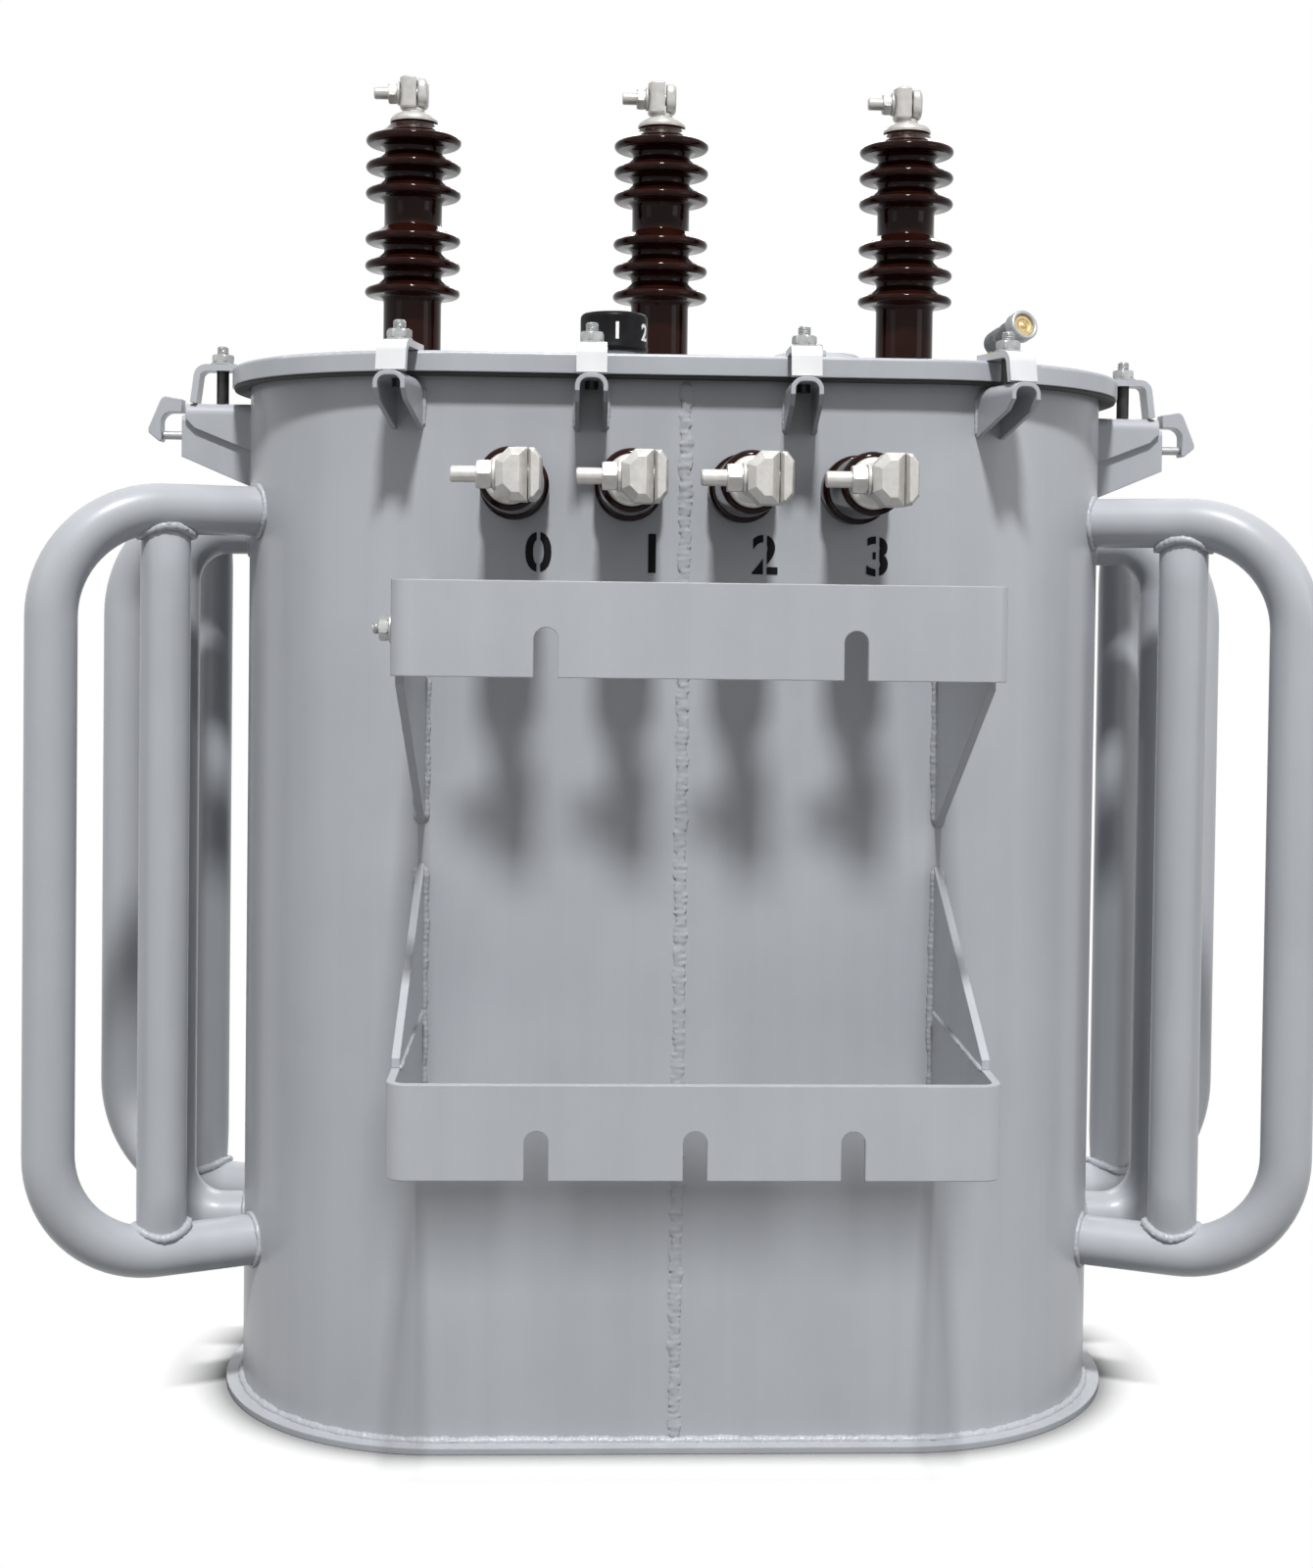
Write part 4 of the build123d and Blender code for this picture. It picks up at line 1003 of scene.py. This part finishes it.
class TRANSFORMER_OT_lid_fittings(bpy.types.Operator):
    """Tap dial with numbers, hand-hole cover, relief valve, and the nuts of the flanges."""

    bl_idname = "transformer.lid_fittings"
    bl_label = "Lid fittings"

    def execute(self, context):
        self.tap_dial()
        self.hand_hole()
        self.relief_valve()
        self.flange_nuts()
        return {"FINISHED"}

    def round_fitting(self, name):
        """Middle of the foot, radius and height of a round CAD node."""
        low, high, mid = node_box(name)
        return np.array([*mid[:2], low[2]]), (high[0] - low[0]) / 2, high[2] - low[2]

    def tap_dial(self):
        """Knob r(h) with a rolled lip and a finger groove; its numbers are bent round the rim."""
        center, radius, height = self.round_fitting("tap_changer_dial")
        profile = [
            [[radius - 0.004, 0.0]], arc((radius - 0.0025, 0.0025), 0.0025, -90, 0, 6),
            [[radius, 0.004], [radius - 0.0006, 0.005], [radius - 0.0006, height - 0.007]],
            arc((radius - 0.0056, height - 0.006), 0.005, 0, 90, 10),
            [[radius - 0.012, height - 0.0012], [0.006, height - 0.0012]],
        ]
        place("tap_dial_knob", [turned(profile, center, UP, 72)], "dial", 40.0, ["tap_changer_dial"])
        first, apart = -85.0, 58.0
        for number in range(1, 6):
            mesh = numeral(str(number), 0.021, 0.0006)
            flat = np.empty(len(mesh.vertices) * 3)
            mesh.vertices.foreach_get("co", flat)
            flat = flat.reshape(-1, 3)
            around = math.radians(first + apart * (number - 1)) + flat[:, 0] / radius
            reach = radius - 0.0005 + flat[:, 2]
            bent = np.stack([center[0] + reach * np.cos(around), center[1] + reach * np.sin(around),
                             center[2] + 0.45 * height + flat[:, 1]], -1)
            mesh.vertices.foreach_set("co", bent.ravel())
            mesh.update()
            adopt(f"tap_number_{number}", mesh, "white")

    def hand_hole(self):
        """Low crowned cover h(r) with a rolled edge, held by two nuts."""
        center, radius, height = self.round_fitting("hand_hole_cover")
        profile = [
            [[radius, 0.0], [radius, 0.0035]], arc((radius - 0.003, 0.0035), 0.003, 0, 80, 6),
            bend((radius - 0.006, 0.0066), (radius - 0.014, 0.0072), (radius - 0.02, height * 0.86), 6),
            bend((radius - 0.026, height * 0.93), (0.018, height), (0.004, height), 8),
        ]
        place("hand_hole_lid", [turned(profile, center, UP, 80)], "paint", 40.0, ["hand_hole_cover"])
        bolts = []
        for turn in (-90, 90):
            angle = math.radians(turn)
            spot = center + (radius - 0.011) * np.array([math.cos(angle), math.sin(angle), 0]) + 0.006 * UP
            bolts += [disc(spot, UP, 0.0084, 0.0018, 0.0006, 0.0004, 32),
                      hexagon(spot + 0.0018 * UP, UP, 0.013, 0.0065, 0.003, 0.3 + turn),
                      threaded(spot + 0.0078 * UP, UP, 0.0039, 0.0062, 0.00125)]
        place("hand_hole_nuts", bolts, "zinc", 30.0)

    def relief_valve(self):
        """Brass stem, dark elbow and a brass mouth in a plated ring."""
        aside, tilt = math.radians(24), math.radians(16)
        out = np.array([math.sin(aside) * math.cos(tilt), -math.cos(aside) * math.cos(tilt), math.sin(tilt)])
        face = node_box("relief_valve_cap")[2] + 0.0065 * out
        stem = np.array([*(face - 0.047 * out)[:2], LID_TOP])
        mouth = face - 0.013 * out
        stack = [turned([[0.0088, 0.0], [0.0088, 0.002]], stem, UP, 40),
                 hexagon(stem + 0.002 * UP, UP, 0.017, 0.0085, 0.004, 0.4),
                 turned([[0.0078, 0.0], [0.0078, 0.014]], stem + 0.01 * UP, UP, 40)]
        elbow = [arc((0.0, 0.0), 0.0112, -88, 0, 10),
                 [[0.0112, 0.012], [0.0104, 0.013], [0.0104, 0.02], [0.0114, 0.021], [0.0114, 0.0338]]]
        ring = [[[0.0105, 0.0], [0.0133, 0.0006], [0.0139, 0.002], [0.0139, 0.011]],
                arc((0.0119, 0.011), 0.002, 0, 170, 8), [[0.0099, 0.0102], [0.0092, 0.009]]]
        plug = [[[0.0098, 0.008], [0.0096, 0.0102]], bend((0.009, 0.0104), (0.006, 0.0106), (0.0055, 0.0092), 5),
                [[0.004, 0.009]], bend((0.0036, 0.0092), (0.002, 0.011), (0.0006, 0.0112), 5)]
        place("valve_stem", stack, "brass", 35.0)
        place("valve_body", [turned(elbow, stem + 0.026 * UP, out, 48)], "valve", 35.0, ["relief_valve_body"])
        place("valve_mouth", [turned(ring, mouth, out, 64)], "zinc", 35.0, ["relief_valve_cap"], "valve_brass")
        place("valve_plug", [turned(plug, mouth, out, 56)], "brass", 35.0)

    def flange_nuts(self):
        """Four nuts on studs round every upper bushing's flange."""
        stud_circle = 0.0446
        flange_top = node_box("hv_flanges")[1][2]
        nuts = []
        for name in HV_NAMES:
            center = np.array([*node_box(f"hv_bushing_{name}")[2][:2], flange_top])
            for turn in np.radians([45, 135, 225, 315]):
                spot = center + stud_circle * np.array([math.cos(turn), math.sin(turn), 0])
                nuts += [hexagon(spot, UP, 0.0115, 0.0062, 0.003, turn),
                         threaded(spot + 0.0058 * UP, UP, 0.0034, 0.006, 0.00125)]
        place("flange_nuts", nuts, "zinc", 30.0)


class TRANSFORMER_OT_lifting_hooks(bpy.types.Operator):
    """Beak-shaped lifting hooks with a plated round rod across the mouth."""

    bl_idname = "transformer.lifting_hooks"
    bl_label = "Lifting hooks"

    def execute(self, context):
        low, high, _ = node_box("lifting_hooks")
        shank = node_box("lifting_lug_right")[1][0] - TANK_HIGH[0]
        tip, top, foot = high[0] - TANK_HIGH[0], high[2], low[2]
        mouth = 0.0099
        x, z = shank + 0.00975, top - 0.025
        outline = np.vstack([
            [[shank, z + mouth]], arc((x, z), mouth, 90, 0, 9), [[x + mouth, z - 0.008]],
            bend((x + 0.0092, z - 0.014), (x + 0.0098, foot + 0.0015), (x + 0.0122, foot + 0.0032), 5),
            bend((tip - 0.0012, top - 0.0352), (tip, top - 0.0335), (tip - 0.0006, top - 0.03), 5),
            bend((tip - 0.0115, top - 0.0035), (tip - 0.0135, top - 0.0004), (tip - 0.0165, top), 6),
            [[shank, top - 0.0024]],
        ])
        half = (high[1] - low[1]) / 2
        depth = np.array([-half, half])[:, None, None] * BACK
        hooks, rods = [], []
        for hand in SIDES.values():
            out, root = hand * RIGHT, np.array([hand * TANK_HIGH[0], 0.0, 0.0])
            hooks.append(flat_ends(root + outline[:, :1] * out + outline[:, 1:] * UP + depth))
            rods.append(disc(root + (shank - 0.002) * out + (z - 0.0115) * UP, out, 0.004, 0.0211, 0.0006, 0.0006, 32))
        soften(place("lifting_beaks", hooks, "paint", 30.0, ["lifting_hooks"]), HOOK_EDGE)
        place("keeper_rods", rods, "zinc", 35.0)
        return {"FINISHED"}


def flat_ends(rings):
    """Bent outline carried straight across: side quads, and one many-sided face at each end."""
    count = rings.shape[1]
    first = np.arange(count)
    ahead = (first + 1) % count
    sides = np.stack([first, ahead, ahead + count, first + count], -1)
    return rings.reshape(-1, 3), sides, [first[::-1].tolist(), (first + count).tolist()]


class TRANSFORMER_OT_ground_bolt(bpy.types.Operator):
    """Earthing bolt on the left side of the upper bracket, with a nut at each side of the strap."""

    bl_idname = "transformer.ground_bolt"
    bl_label = "Earthing bolt"

    def execute(self, context):
        low, _, mid = node_box("pole_bracket_upper")
        spot = np.array([low[0], low[1] + 0.028, mid[2] - 0.001])
        place("ground_bolt", [
            disc(spot, -RIGHT, 0.0112, 0.0021, 0.0007, 0.0005, 36),
            hexagon(spot - 0.0021 * RIGHT, -RIGHT, 0.017, 0.0075, 0.004, 0.2),
            threaded(spot - 0.0092 * RIGHT, -RIGHT, 0.0047, 0.0052, 0.0015),
            hexagon(spot + 0.0065 * RIGHT, RIGHT, 0.017, 0.007, 0.004, 0.5),
        ], "zinc", 30.0)
        return {"FINISHED"}


FLOOR_SIDES = 96
# Width of the painted shade on the floor beside the base
FLOOR_PAINTED_SHADE = 0.045
FLOOR_WHITE = (0.004, 0.06)
LAMPS = (  # name, spot, target, width, height, setting, share of the setting
    ("key", (0.05, -5.65, 9.6), (0.0, -0.25, 0.6), 1.05, 0.8, "key", 1.0),
    ("left_fill", (-2.6, -1.9, 1.7), (0.0, 0.0, 0.6), 1.2, 1.8, "fill", 0.4),
    ("right_fill", (2.8, -1.6, 1.5), (0.0, 0.0, 0.6), 1.2, 1.8, "fill", 1.0),
    ("rear_fill", (0.3, 3.0, 2.8), (0.0, 0.0, 0.7), 1.8, 1.2, "fill", 3.2),
)


def seen_rays(tree):
    """The light path, and 1 for camera, transmission and glossy rays, 0 for the light that falls on the part."""
    ray = node(tree, "ShaderNodeLightPath").outputs
    seen = maths(tree, "MAXIMUM", ray["Is Camera Ray"], ray["Is Transmission Ray"])
    return ray, maths(tree, "MAXIMUM", seen, ray["Is Glossy Ray"])


def stand(name, data, across, along, back, spot):
    """Lamp or camera object with its right, up and back directions, at a spot."""
    made = bpy.data.objects.new(name, data)
    turn = Matrix(np.stack([across, along, back], -1).tolist()).to_4x4()
    made.matrix_world = Matrix.Translation(spot) @ turn
    bpy.context.scene.collection.objects.link(made)
    return made


class TRANSFORMER_OT_stage(bpy.types.Operator):
    """White floor, soft studio lamps and the camera at the photograph's view."""

    bl_idname = "transformer.stage"
    bl_label = "Studio"

    def execute(self, context):
        view = context.scene.transformer_view
        context.scene.view_settings.view_transform = "Standard"
        self.floor()
        self.room(view)
        self.camera(view)
        return {"FINISHED"}

    def floor(self):
        """Disc that keeps the shadow, has a painted shade right beside the base and turns to plain white further out.
        """
        radius = np.array([0.4, 0.8, 1.2, 2.0, 4.0, 40.0])[:, None]
        angle = np.linspace(0, 2 * np.pi, FLOOR_SIDES, endpoint=False)
        points, quads, fans = skin(np.stack([radius * np.cos(angle), radius * np.sin(angle), 0 * radius * angle], -1))
        mesh = bpy.data.meshes.new("floor")
        # Only the inner fan is kept; faces are turned to look up
        mesh.from_pydata(points[:-1], [], quads[:, ::-1].tolist() + fans[:FLOOR_SIDES, ::-1].tolist())
        made = bpy.data.objects.new("floor", mesh)
        bpy.context.scene.collection.objects.link(made)
        paper = bpy.data.materials.new("white_floor")
        tree = bare_tree(paper)
        where = object_point(tree)
        past = maths(tree, "SUBTRACT", maths(tree, "ABSOLUTE", one_axis(tree, where, "X")), END_CENTER)
        level = node(tree, "ShaderNodeCombineXYZ", {0: maths(tree, "MAXIMUM", past), 1: one_axis(tree, where, "Y")})
        far = node(tree, "ShaderNodeVectorMath", {0: level.outputs[0]}, operation="LENGTH").outputs["Value"]
        ray, seen = seen_rays(tree)
        tone = maths(tree, "MULTIPLY", spread(tree, noise(tree, where, 30.0, 4.0), 0.3, 0.7, 0.93, 0.96),
                     spread(tree, ray["Is Camera Ray"], 0.0, 1.0, 0.22, 1.0))
        # Painted shade: the floor's colour darkens right beside the base, standing in for a contact shadow
        tone = maths(tree, "MULTIPLY", tone, spread(tree, far, BASE_REACH, BASE_REACH + FLOOR_PAINTED_SHADE, 0.3, 1.0))
        matt = node(tree, "ShaderNodeBsdfDiffuse", {"Color": tone})
        glow = node(tree, "ShaderNodeEmission", {"Color": (1.0, 1.0, 1.0, 1.0), "Strength": 1.0})
        white = maths(tree, "MULTIPLY", seen, spread(tree, far, *(BASE_REACH + gap for gap in FLOOR_WHITE)))
        both = node(tree, "ShaderNodeMixShader", {0: white, 1: matt.outputs[0], 2: glow.outputs[0]})
        node(tree, "ShaderNodeOutputMaterial", {"Surface": both.outputs[0]})
        mesh.materials.append(paper)

    def room(self, view):
        """White surroundings whose light grows upwards, a lamp high in front, one at each side and one behind."""
        world = bpy.data.worlds.new("studio")
        bpy.context.scene.world = world
        tree = bare_tree(world)
        _, seen = seen_rays(tree)
        height = one_axis(tree, node(tree, "ShaderNodeTexCoord").outputs["Generated"], "Z")
        above = maths(tree, "MULTIPLY", spread(tree, height, -0.1, 1.0, 0.18, 1.0), view.sky)
        level = node(tree, "ShaderNodeMix", {0: seen, 2: above, 3: 1.0}, data_type="FLOAT")
        sky = node(tree, "ShaderNodeBackground", {"Color": (1.0, 1.0, 1.0, 1.0), "Strength": level.outputs[0]})
        node(tree, "ShaderNodeOutputWorld", {"Surface": sky.outputs[0]})
        for name, spot, target, width, tall, setting, part in LAMPS:
            light = bpy.data.lights.new(name, "AREA")
            light.shape = "RECTANGLE"
            light.size, light.size_y = width, tall
            light.energy = part * getattr(view, setting)
            back, across, along = square_to(np.array(spot) - np.array(target))
            stand(name, light, across, along, back, spot)

    def camera(self, view):
        """Camera turned by yaw, pitch and roll, with its focal length as a share of the picture's height."""
        yaw, pitch, roll = view.yaw, view.pitch, view.roll
        ahead = np.array([math.sin(yaw) * math.cos(pitch), math.cos(yaw) * math.cos(pitch), -math.sin(pitch)])
        right = np.array([math.cos(yaw), -math.sin(yaw), 0.0])
        above = np.cross(right, ahead)
        across = right * math.cos(roll) + above * math.sin(roll)
        along = above * math.cos(roll) - right * math.sin(roll)
        lens = bpy.data.cameras.new("camera")
        lens.sensor_fit = "VERTICAL"
        lens.sensor_height = 24.0
        lens.lens = view.focal * lens.sensor_height
        lens.clip_end = 100.0
        lens.shift_x = (0.5 - view.middle[0]) * PICTURE_WIDE / PICTURE_TALL
        lens.shift_y = view.middle[1] - 0.5
        bpy.context.scene.camera = stand("camera", lens, across, along, -ahead, view.place)


class TRANSFORMER_PT_sidebar(bpy.types.Panel):
    """Sidebar list of the transformer's pieces and sizes."""

    bl_idname = "TRANSFORMER_PT_sidebar"
    bl_label = "Pole transformer"
    bl_space_type = "VIEW_3D"
    bl_region_type = "UI"
    bl_category = "Transformer"

    def draw(self, context):
        for operator in OPERATORS:
            self.layout.operator(operator.bl_idname)
        for name in SETTINGS:
            group_ = getattr(context.scene, name)
            box = self.layout.box()
            for key in group_.__annotations__:
                box.prop(group_, key)


SETTINGS = {
    "transformer_clamps": TransformerClamps,
    "transformer_bushings": TransformerBushings,
    "transformer_tubes": TransformerTubes,
    "transformer_finish": TransformerFinish,
    "transformer_view": TransformerView,
}
OPERATORS = (
    TRANSFORMER_OT_finishes,
    TRANSFORMER_OT_porcelain,
    TRANSFORMER_OT_terminals,
    TRANSFORMER_OT_lid_bolts,
    TRANSFORMER_OT_radiators,
    TRANSFORMER_OT_gasket_lip_and_shade,
    TRANSFORMER_OT_welds,
    TRANSFORMER_OT_marks,
    TRANSFORMER_OT_lid_fittings,
    TRANSFORMER_OT_lifting_hooks,
    TRANSFORMER_OT_ground_bolt,
    TRANSFORMER_OT_stage,
)


def register():
    """Register the settings, operators and sidebar."""
    for name, settings in SETTINGS.items():
        bpy.utils.register_class(settings)
        setattr(bpy.types.Scene, name, PointerProperty(type=settings))
    for operator in OPERATORS:
        bpy.utils.register_class(operator)
    bpy.utils.register_class(TRANSFORMER_PT_sidebar)


def unregister():
    """Remove the sidebar, operators and settings."""
    bpy.utils.unregister_class(TRANSFORMER_PT_sidebar)
    for operator in reversed(OPERATORS):
        bpy.utils.unregister_class(operator)
    for name, settings in SETTINGS.items():
        delattr(bpy.types.Scene, name)
        bpy.utils.unregister_class(settings)


def main():
    """Build every piece in order."""
    register()
    for operator in OPERATORS:
        family, call = operator.bl_idname.split(".")
        getattr(getattr(bpy.ops, family), call)()
    bpy.context.view_layer.update()


if __name__ == "__main__":
    main()
